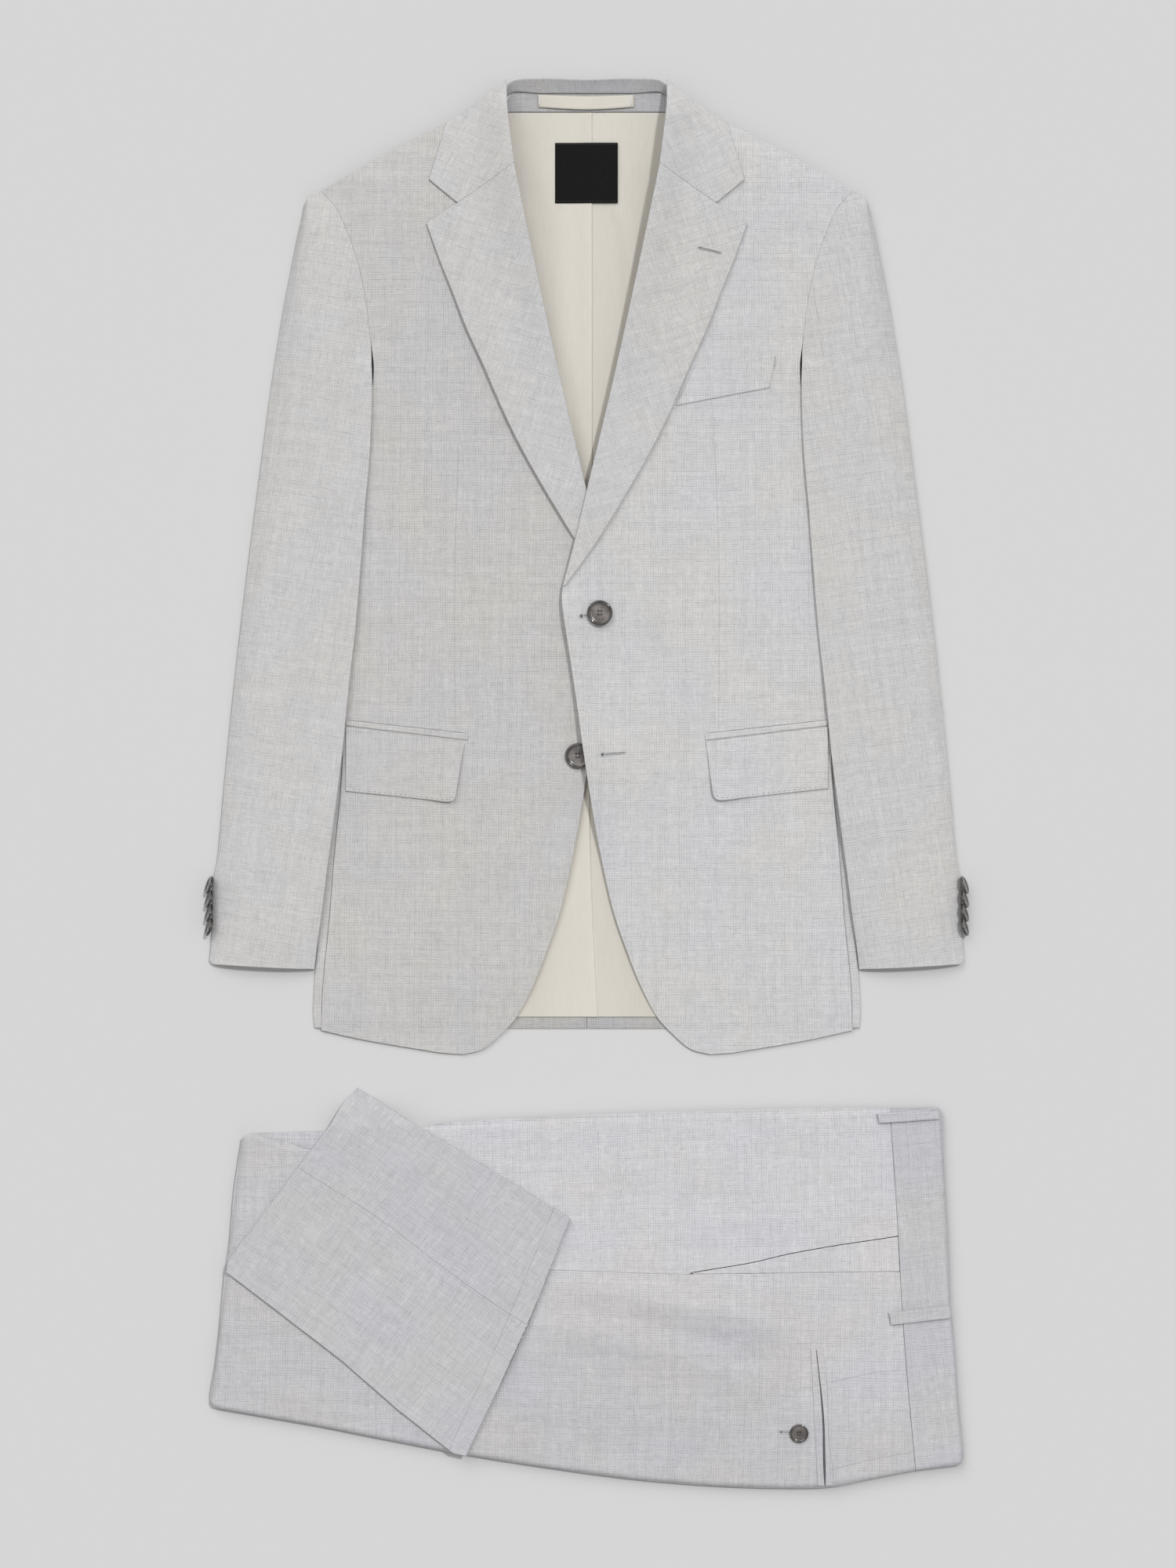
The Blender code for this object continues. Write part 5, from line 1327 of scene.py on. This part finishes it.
def trouser_trim():
    """Belt loops on the waistband, and the back pocket's two jets, a bead of painted shade in its opening,
    its button and its buttonhole.
    """
    for node, corners in BELT_LOOPS.items():
        grid = strip(corners, 0.9)
        height = cover_height(grid, BAND_THICK) + LAY + LOOP_LIFT + LOOP_THICK
        trouser_cloth(node, grid, height, LOOP_THICK, "band")
    slit = curve(POCKET_SLIT, 200)
    for node, left, right in (("back_pocket_jet_outer", curve(POCKET_LEFT, 200), moved(slit, -GAP / 2)),
                              ("back_pocket_jet_inner", moved(slit, GAP / 2), curve(POCKET_RIGHT, 200))):
        grid = between(left[::-1], right[::-1], lines(112.0, 1.6), lines(5.6, 0.6))
        trouser_cloth(node, grid, cover_height(grid, PANEL) + GAP + JET, JET, "jet", "wool_trouser_painted_light")
    dark = cover_height(slit[None], PANEL)[0] + GAP + JET - SLIT_DEPTH
    tube("pocket_slit_painted_shade", raised(place_trousers(slit), dark), np.interp(slit[:, 1], *SLIT_WIDTH),
         "pocket_shade")
    x, y = place_trousers(np.array(POCKET_BUTTON))
    top = float(cover_height(np.array([[POCKET_BUTTON]]), PANEL).max())
    centre = (x, y, top + GAP + SMALL_BUTTON[1] / 2)
    button("pocket_button", SMALL_BUTTON, centre)
    cross_threads("pocket_button_thread", centre, SMALL_BUTTON)

    def on_back(flat):
        """A path in the object's x and y on the upper back panel."""
        return raised(flat, cover_height((flat - TROUSERS_MOVE)[None], PANEL)[0] + 0.3)

    start, end = place_trousers(np.array([(152.6, -519.0), (164.0, -519.4)]))
    buttonhole("buttonhole_pocket", start, end, on_back, width=1.0, eye=0.6)


def feed(tree, value, socket):
    """Links an output to a socket, or sets the socket to a plain value."""
    if isinstance(value, bpy.types.NodeSocket):
        tree.links.new(value, socket)
    else:
        socket.default_value = value


def calc(tree, operation, *values):
    """One step of arithmetic."""
    node = tree.nodes.new("ShaderNodeMath")
    node.operation = operation
    for value, socket in zip(values, node.inputs):
        feed(tree, value, socket)
    return node.outputs[0]


def times(tree, first, second):
    """The product of two values."""
    return calc(tree, "MULTIPLY", first, second)


def plus(tree, first, second):
    """The sum of two values."""
    return calc(tree, "ADD", first, second)


def varied(tree, value, middle, share):
    """Brightness around 1: 1 + share * (value - middle)."""
    return calc(tree, "MULTIPLY_ADD", calc(tree, "SUBTRACT", value, middle), share, 1.0)


def ramp(tree, value, low, high, start, end):
    """Carries a value smoothly from start at low to end at high, and holds it beyond them."""
    node = tree.nodes.new("ShaderNodeMapRange")
    node.interpolation_type = "SMOOTHSTEP"
    for item, socket in zip((value, low, high, start, end), node.inputs):
        feed(tree, item, socket)
    return node.outputs[0]


def noise(tree, vector, scale, detail=2.0):
    """Fractal noise from 0 to 1, in cells of one over scale along each axis."""
    turn = tree.nodes.new("ShaderNodeMapping")
    feed(tree, vector, turn.inputs["Vector"])
    turn.inputs["Scale"].default_value = scale
    node = tree.nodes.new("ShaderNodeTexNoise")
    tree.links.new(turn.outputs["Vector"], node.inputs["Vector"])
    node.inputs["Scale"].default_value = 1.0
    node.inputs["Detail"].default_value = detail
    return node.outputs["Fac"]


def blend(tree, factor, first, second):
    """A colour between two, by factor."""
    node = tree.nodes.new("ShaderNodeMix")
    node.data_type = "RGBA"
    feed(tree, factor, node.inputs[0])
    for colour, socket in ((first, node.inputs[6]), (second, node.inputs[7])):
        feed(tree, (*colour, 1.0) if isinstance(colour, tuple) else colour, socket)
    return node.outputs[2]


def scaled(tree, colour, factor):
    """A colour made lighter or darker by a factor."""
    node = tree.nodes.new("ShaderNodeVectorMath")
    node.operation = "SCALE"
    feed(tree, colour, node.inputs[0])
    feed(tree, factor, node.inputs["Scale"])
    return node.outputs[0]


def new_look(name, rough, **constants):
    """A material with a Principled shader, its constant sockets set directly."""
    paint = bpy.data.materials.new(name)
    paint.use_nodes = True
    shader = paint.node_tree.nodes["Principled BSDF"]
    shader.inputs["Roughness"].default_value = rough
    for label, value in constants.items():
        shader.inputs[label.replace("_", " ")].default_value = value
    return paint, paint.node_tree, shader


def bumped(tree, shader, height, distance, strength=1.0):
    """Height in distance units pressed into the surface."""
    node = tree.nodes.new("ShaderNodeBump")
    node.inputs["Strength"].default_value = strength
    node.inputs["Distance"].default_value = distance
    feed(tree, height, node.inputs["Height"])
    tree.links.new(node.outputs["Normal"], shader.inputs["Normal"])


def coordinates(tree):
    """The cloth's own coordinates in metres."""
    node = tree.nodes.new("ShaderNodeUVMap")
    node.uv_map = "cloth"
    return node.outputs["UV"]


def own_place(tree):
    """The object's own coordinates in metres."""
    return tree.nodes.new("ShaderNodeTexCoord").outputs["Object"]


def parts(tree, vector):
    """The first two numbers of a vector."""
    node = tree.nodes.new("ShaderNodeSeparateXYZ")
    tree.links.new(vector, node.inputs[0])
    return node.outputs[0], node.outputs[1]


def tinted(tree, colour, tint):
    """A colour times a tint."""
    node = tree.nodes.new("ShaderNodeVectorMath")
    node.operation = "MULTIPLY"
    feed(tree, colour, node.inputs[0])
    feed(tree, tint, node.inputs[1])
    return node.outputs[0]


def attribute(tree, name):
    """One of a piece's own values at each point."""
    node = tree.nodes.new("ShaderNodeAttribute")
    node.attribute_name = name
    return node.outputs["Fac"]


# The micro-check: the distance between its thin lines, its ground and line colours.
CHECK = 0.00195
GROUND = (0.640, 0.636, 0.628)
LINE = (0.490, 0.492, 0.512)
# How much streaks, slubs, and light and dark flecks change the cloth's brightness.
STREAK = 0.11
SLUB = 0.085
FLECK = 0.09
# How much painted light brightens the trousers' upper panel, and the brightness that painted shade leaves on
# the back's turned-up hem.
TROUSER_PAINTED_LIGHT = 0.14
HEM_PAINTED_SHADE = 0.80
# The tints between which the cloth's hue drifts.
WARM = (1.012, 1.0, 0.982)
LILAC = (0.990, 0.992, 1.018)


def check_lines(tree, across, along, seed):
    """Thin lines square to one direction: each of its own strength, broken up along its length."""
    place = calc(tree, "DIVIDE", across, CHECK)
    number = calc(tree, "FLOOR", place)
    away = calc(tree, "ABSOLUTE", calc(tree, "SUBTRACT", calc(tree, "FRACT", place), 0.5))
    line = ramp(tree, away, 0.06, 0.26, 1.0, 0.0)
    white = tree.nodes.new("ShaderNodeTexWhiteNoise")
    white.noise_dimensions = "1D"
    tree.links.new(plus(tree, number, seed), white.inputs["W"])
    strength = ramp(tree, white.outputs["Value"], 0.0, 1.0, 0.45, 1.0)
    spot = tree.nodes.new("ShaderNodeCombineXYZ")
    tree.links.new(times(tree, number, 3.7), spot.inputs[0])
    tree.links.new(times(tree, along, 160.0), spot.inputs[1])
    broken = ramp(tree, noise(tree, spot.outputs[0], (1.0, 1.0, 1.0), 3.0), 0.32, 0.62, 0.35, 1.0)
    return times(tree, times(tree, line, strength), broken)


def hem_painted_shade(tree):
    """Painted shade over the back: the turned-up hem below the lining is darkened as if in the fronts'
    shade.
    """
    return ramp(tree, parts(tree, own_place(tree))[1], -0.1866, -0.1856, HEM_PAINTED_SHADE, 1.0)


def trouser_painted_light(tree):
    """Painted light over the trousers: brighter on the upper panel and by the back pocket, where more light
    falls.
    """
    x, y = parts(tree, own_place(tree))
    upper = times(tree, ramp(tree, y, -0.465, -0.370, 0.0, 1.0), ramp(tree, x, -0.250, -0.120, 0.15, 1.0))
    pocket = times(tree, ramp(tree, x, 0.120, 0.215, 0.0, 0.7), ramp(tree, y, -0.550, -0.450, 0.1, 1.0))
    return calc(tree, "MULTIPLY_ADD", calc(tree, "MAXIMUM", upper, pocket), TROUSER_PAINTED_LIGHT, 1.0)


def wool_look(name, tint, painted_shading=None):
    """Light wool with a micro-check, slubs and streaks along both threads, sewn lines as grooves with
    painted shade in them, and, where given, painted light and shade by place.
    """
    paint, tree, shader = new_look(name, 0.86, Sheen_Weight=0.12, Sheen_Roughness=0.45,
                                   Specular_IOR_Level=0.25)
    flat = coordinates(tree)
    drift = tree.nodes.new("ShaderNodeVectorMath")
    drift.operation = "MULTIPLY_ADD"
    soft = tree.nodes.new("ShaderNodeTexNoise")
    soft.inputs["Scale"].default_value = 22.0
    tree.links.new(flat, soft.inputs["Vector"])
    tree.links.new(soft.outputs["Color"], drift.inputs[0])
    drift.inputs[1].default_value = (0.0022, 0.0022, 0.0)
    tree.links.new(flat, drift.inputs[2])
    flat = drift.outputs[0]
    x, y = parts(tree, flat)
    warp, weft = check_lines(tree, x, y, 0.5), check_lines(tree, y, x, 40.5)
    lined = calc(tree, "MAXIMUM", warp, weft)
    colour = blend(tree, lined, GROUND, LINE)
    hue = ramp(tree, noise(tree, flat, (13.0, 10.0, 1.0), 2.0), 0.35, 0.65, 0.0, 1.0)
    colour = tinted(tree, colour, blend(tree, hue, WARM, LILAC))

    def both_ways(fine, coarse, detail):
        """Noise drawn out along the warp, and along the weft."""
        return [noise(tree, flat, (*scale, 1.0), detail) for scale in ((fine, coarse), (coarse, fine))]

    streaks, wide = plus(tree, *both_ways(760.0, 80.0, 4.0)), plus(tree, *both_ways(190.0, 20.0, 3.0))
    slubs = both_ways(1300.0, 210.0, 1.0)
    light = calc(tree, "MAXIMUM", *[ramp(tree, slub, 0.60, 0.74, 0.0, FLECK) for slub in slubs])
    dark = calc(tree, "MAXIMUM", *[ramp(tree, slub, 0.26, 0.40, FLECK, 0.0) for slub in slubs])
    fibre = noise(tree, flat, (1800.0, 1800.0, 1.0), 2.0)
    shade = times(tree, varied(tree, streaks, 1.0, STREAK * 2), varied(tree, wide, 1.0, SLUB * 2))
    shade = times(tree, shade, varied(tree, fibre, 0.5, 0.16))
    shade = times(tree, shade, plus(tree, calc(tree, "SUBTRACT", light, dark), 1.0))
    # Painted light and shade by place, where the look has them.
    if painted_shading:
        shade = times(tree, shade, painted_shading(tree))
    sewn = [calc(tree, "ABSOLUTE", attribute(tree, f"seam_{k}")) for k in (1, 2)]
    groove_and_shade = calc(tree, "MAXIMUM", *[ramp(tree, away, 0.12, 0.6, 1.0, 0.0) for away in sewn])
    # Painted shade: the cloth is darkened by up to 8% along sewn lines, as if in their grooves' shade; the
    # same mask also presses the groove.
    shade = times(tree, shade, calc(tree, "MULTIPLY_ADD", groove_and_shade, -0.08, 1.0))
    tree.links.new(scaled(tree, tinted(tree, colour, tint), shade), shader.inputs["Base Color"])
    pucker = ramp(tree, calc(tree, "ABSOLUTE", attribute(tree, "edge")), 0.8, 3.2, 1.0, 0.0)
    ripple = times(tree, pucker, noise(tree, flat, (260.0, 260.0, 1.0), 1.0))
    height = plus(tree, times(tree, lined, -0.10), times(tree, fibre, 0.25))
    height = plus(tree, height, times(tree, plus(tree, streaks, wide), 0.12))
    height = plus(tree, height, times(tree, groove_and_shade, -0.5))
    bumped(tree, shader, plus(tree, height, times(tree, ripple, 0.5)), 0.0004)
    return paint


# The darker and lighter colour of the lining, label, buttons and floor.
CREAM = ((0.668, 0.634, 0.560), (0.716, 0.682, 0.610))
BLACK = ((0.0060, 0.0060, 0.0068), (0.0150, 0.0150, 0.0165))
HORN = ((0.085, 0.075, 0.070), (0.230, 0.208, 0.192))
PAPER = ((0.690, 0.690, 0.690), (0.712, 0.712, 0.712))
# How much painted light brightens the lining before its pleat's fold, and how much painted shade darkens it
# past the fold.
PLEAT_PAINTED_LIGHT = 0.055
PLEAT_PAINTED_SHADE = 0.04


def lining_painted_light(tree):
    """Painted light and shade over the lining: a lit strip up to the pleat's fold, painted shade past it and
    towards both sides, and painted light low down.
    """
    x, y = parts(tree, own_place(tree))
    fold = plus(tree, ramp(tree, y, -0.187, -0.025, 0.0085, 0.0022),
                ramp(tree, y, -0.025, 0.203, 0.0, 0.0019))
    past = calc(tree, "SUBTRACT", x, fold)
    bright = times(tree, ramp(tree, past, -0.034, -0.010, 0.0, 1.0),
                   ramp(tree, past, -0.0002, 0.0002, 1.0, 0.0))
    dull = times(tree, ramp(tree, past, 0.0, 0.0003, 0.0, 1.0), ramp(tree, past, 0.004, 0.040, 0.7, 1.0))
    pleat = calc(tree, "SUBTRACT", times(tree, bright, PLEAT_PAINTED_LIGHT), times(tree, dull, PLEAT_PAINTED_SHADE))
    pleat = times(tree, pleat, ramp(tree, y, 0.455, 0.515, 1.0, 0.25))
    # Painted shade towards the lapels at both sides, and painted light low down.
    sides = times(tree, ramp(tree, calc(tree, "ABSOLUTE", x), 0.016, 0.056, 1.0, 0.93),
                 ramp(tree, y, -0.185, -0.120, 1.035, 1.0))
    return times(tree, sides, plus(tree, pleat, 1.0))


def lining_look():
    """Cream satin: fine warp streaks, a gloss that varies along them, painted light and shade along its
    pleat and sides, and soft wrinkles.
    """
    paint, tree, shader = new_look("lining_satin_painted_light", 0.42, Sheen_Weight=0.08, Specular_IOR_Level=0.45,
                                   Coat_Weight=0.06, Coat_Roughness=0.35)
    flat = coordinates(tree)
    fine = noise(tree, flat, (2600.0, 60.0, 1.0), 2.0)
    slow = noise(tree, flat, (26.0, 7.0, 1.0), 3.0)
    colour = blend(tree, ramp(tree, fine, 0.25, 0.75, 0.0, 1.0), *CREAM)
    shade = times(tree, varied(tree, slow, 0.5, 0.10), lining_painted_light(tree))
    tree.links.new(scaled(tree, colour, shade), shader.inputs["Base Color"])
    tree.links.new(ramp(tree, slow, 0.3, 0.7, 0.34, 0.5), shader.inputs["Roughness"])
    bumped(tree, shader, plus(tree, times(tree, fine, 0.15), slow), 0.0008)
    return paint


def label_look():
    """Black woven label: a fine even rib with specks of lint."""
    paint, tree, shader = new_look("label_weave", 0.78, Sheen_Weight=0.02, Specular_IOR_Level=0.12)
    flat = coordinates(tree)
    rib = tree.nodes.new("ShaderNodeTexWave")
    rib.inputs["Scale"].default_value = 260.0
    tree.links.new(flat, rib.inputs["Vector"])
    lint = ramp(tree, noise(tree, flat, (900.0, 900.0, 1.0), 3.0), 0.35, 0.8, 0.0, 1.0)
    colour = blend(tree, lint, *BLACK)
    tree.links.new(colour, shader.inputs["Base Color"])
    bumped(tree, shader, rib.outputs["Fac"], 0.00008)
    return paint


def horn_look(name, shade):
    """Polished horn: soft grey-brown clouds and streaks, darker towards the rim."""
    paint, tree, shader = new_look(name, 0.2, Coat_Weight=0.6, Coat_Roughness=0.06, Specular_IOR_Level=0.6)
    own = own_place(tree)
    cloud = noise(tree, own, (85.0, 120.0, 70.0), 3.0)
    streak = noise(tree, own, (900.0, 160.0, 300.0), 3.0)
    mixed = plus(tree, times(tree, cloud, 0.8), times(tree, streak, 0.2))
    colour = blend(tree, ramp(tree, mixed, 0.34, 0.68, 0.0, 1.0), *HORN)
    rim = ramp(tree, attribute(tree, "rim"), 0.66, 0.86, shade, 0.42 * shade)
    tree.links.new(scaled(tree, colour, rim), shader.inputs["Base Color"])
    tree.links.new(ramp(tree, cloud, 0.3, 0.7, 0.14, 0.3), shader.inputs["Roughness"])
    return paint


def thread_look(name, colour):
    """Twisted thread: slanting plies as light and dark bands, in the bead's own coordinates."""
    paint, tree, shader = new_look(name, 0.7, Sheen_Weight=0.1, Specular_IOR_Level=0.3)
    twist = noise(tree, coordinates(tree), (1500.0, 700.0, 1.0), 2.0)
    shade = ramp(tree, twist, 0.3, 0.7, 0.72, 1.12)
    tree.links.new(scaled(tree, colour, shade), shader.inputs["Base Color"])
    bumped(tree, shader, twist, 0.0002)
    return paint


def floor_look():
    """A pale matt surface with hardly any grain."""
    paint, tree, shader = new_look("floor_paper", 0.92, Specular_IOR_Level=0.1)
    grain = noise(tree, own_place(tree), (500.0, 500.0, 500.0), 2.0)
    tree.links.new(blend(tree, grain, *PAPER), shader.inputs["Base Color"])
    return paint


LOOKS = {
    "wool": wool_look("jacket_wool_check", (1.015, 1.010, 1.0)),
    # The fronts' wool: painted shade on the wearer's right front, painted light on the left one.
    "wool_painted_shade": wool_look("right_front_wool_painted_shade", (0.965, 0.955, 0.938)),
    "wool_painted_light": wool_look("left_front_wool_painted_light", (1.045, 1.045, 1.045)),
    # The back's wool, with painted shade on its turned-up hem.
    "wool_back_hem_shade": wool_look("back_wool_hem_painted_shade", (1.0, 0.995, 0.985), hem_painted_shade),
    # Painted shade: the collar stand's and neck facing's wool, darkened as if in the neck's shade.
    "wool_neck_painted_shade": wool_look("collar_wool_painted_shade", (0.79, 0.79, 0.80)),
    "wool_blue": wool_look("trouser_wool_check", (0.933, 0.933, 0.963)),
    # The trousers' panels, pocket facing and jets, with painted light by place.
    "wool_trouser_painted_light": wool_look("trouser_panel_wool_painted_light", (0.928, 0.922, 0.944), trouser_painted_light),
    "lining": lining_look(),
    "label": label_look(),
    "horn": horn_look("button_horn", 1.0),
    "horn_dark": horn_look("cuff_button_horn", 0.62),
    "thread": thread_look("thread_cream", (0.82, 0.80, 0.76)),
    "dark_thread_and_eye_shade": thread_look("thread_charcoal", (0.07, 0.07, 0.08)),
    "wool_thread": thread_look("thread_grey", (0.58, 0.58, 0.59)),
    "slit_painted_shade": thread_look("buttonhole_slit_painted_shade", (0.27, 0.27, 0.28)),
    "pocket_shade": thread_look("pocket_inner_shade", (0.115, 0.115, 0.125)),
    "dark_stitch_and_jet_shade": thread_look("thread_stitch", (0.36, 0.36, 0.38)),
}


# The floor's corners in metres, and how far it lies below the cloth.
FLOOR = [(-2.5, -2.5), (2.5, -2.5), (2.5, 2.5), (-2.5, 2.5)]
FLOOR_DOWN = -0.0003
# Each lamp's place, how wide it is in degrees, and its strength: a broad one from the upper left
# and a crisp one from the upper right.
LIGHTS = {
    "key": ((-0.8, 1.3, 1.7), 38.0, 0.81),
    "cross": ((0.55, 0.62, 1.85), 5.0, 1.205),
}
FILL = 0.42
# The camera's place in metres, and its sensor and lens in millimetres.
CAMERA_AT = (0.00095, -0.00024, 3.0)
SENSOR = 36.0
LENS = 85.7


def studio():
    """A pale floor, a broad light and a crisp one, even fill, and the camera straight above."""
    mesh = make_mesh("floor", raised(np.array(FLOOR), FLOOR_DOWN), np.array([[0, 1, 2, 3]]))[0]
    mesh.materials.append(floor_look())
    floor = put("floor", mesh)
    for name, (place, spread, power) in LIGHTS.items():
        lamp = bpy.data.lights.new(name, "SUN")
        lamp.angle = math.radians(spread)
        lamp.energy = power
        light = put(name, lamp)
        light.location = place
        light.rotation_euler = Vector(place).to_track_quat("Z", "Y").to_euler()
    world = bpy.data.worlds.new("studio")
    bpy.context.scene.world = world
    world.use_nodes = True
    world.node_tree.nodes["Background"].inputs["Color"].default_value = (1.0, 1.0, 1.0, 1.0)
    world.node_tree.nodes["Background"].inputs["Strength"].default_value = FILL
    lens = bpy.data.cameras.new("camera")
    lens.sensor_width = SENSOR
    lens.lens = LENS
    camera = put("camera", lens)
    camera.location = CAMERA_AT
    bpy.context.scene.camera = camera
    bpy.context.scene.view_settings.view_transform = "Standard"


def dress():
    """Every piece of the suit, side by side, and then the trousers."""
    for side in (1, -1):
        for piece in (back, side_panel, back_lining, front, lapel, collar, sleeve, hip_pocket):
            piece(side)
    for pieces in (collar_stand, neck, chest_welt, jacket_buttons, jacket_sewing,
                   trouser_pile, trouser_panels, folded_leg, trouser_trim):
        pieces()


dress()
studio()
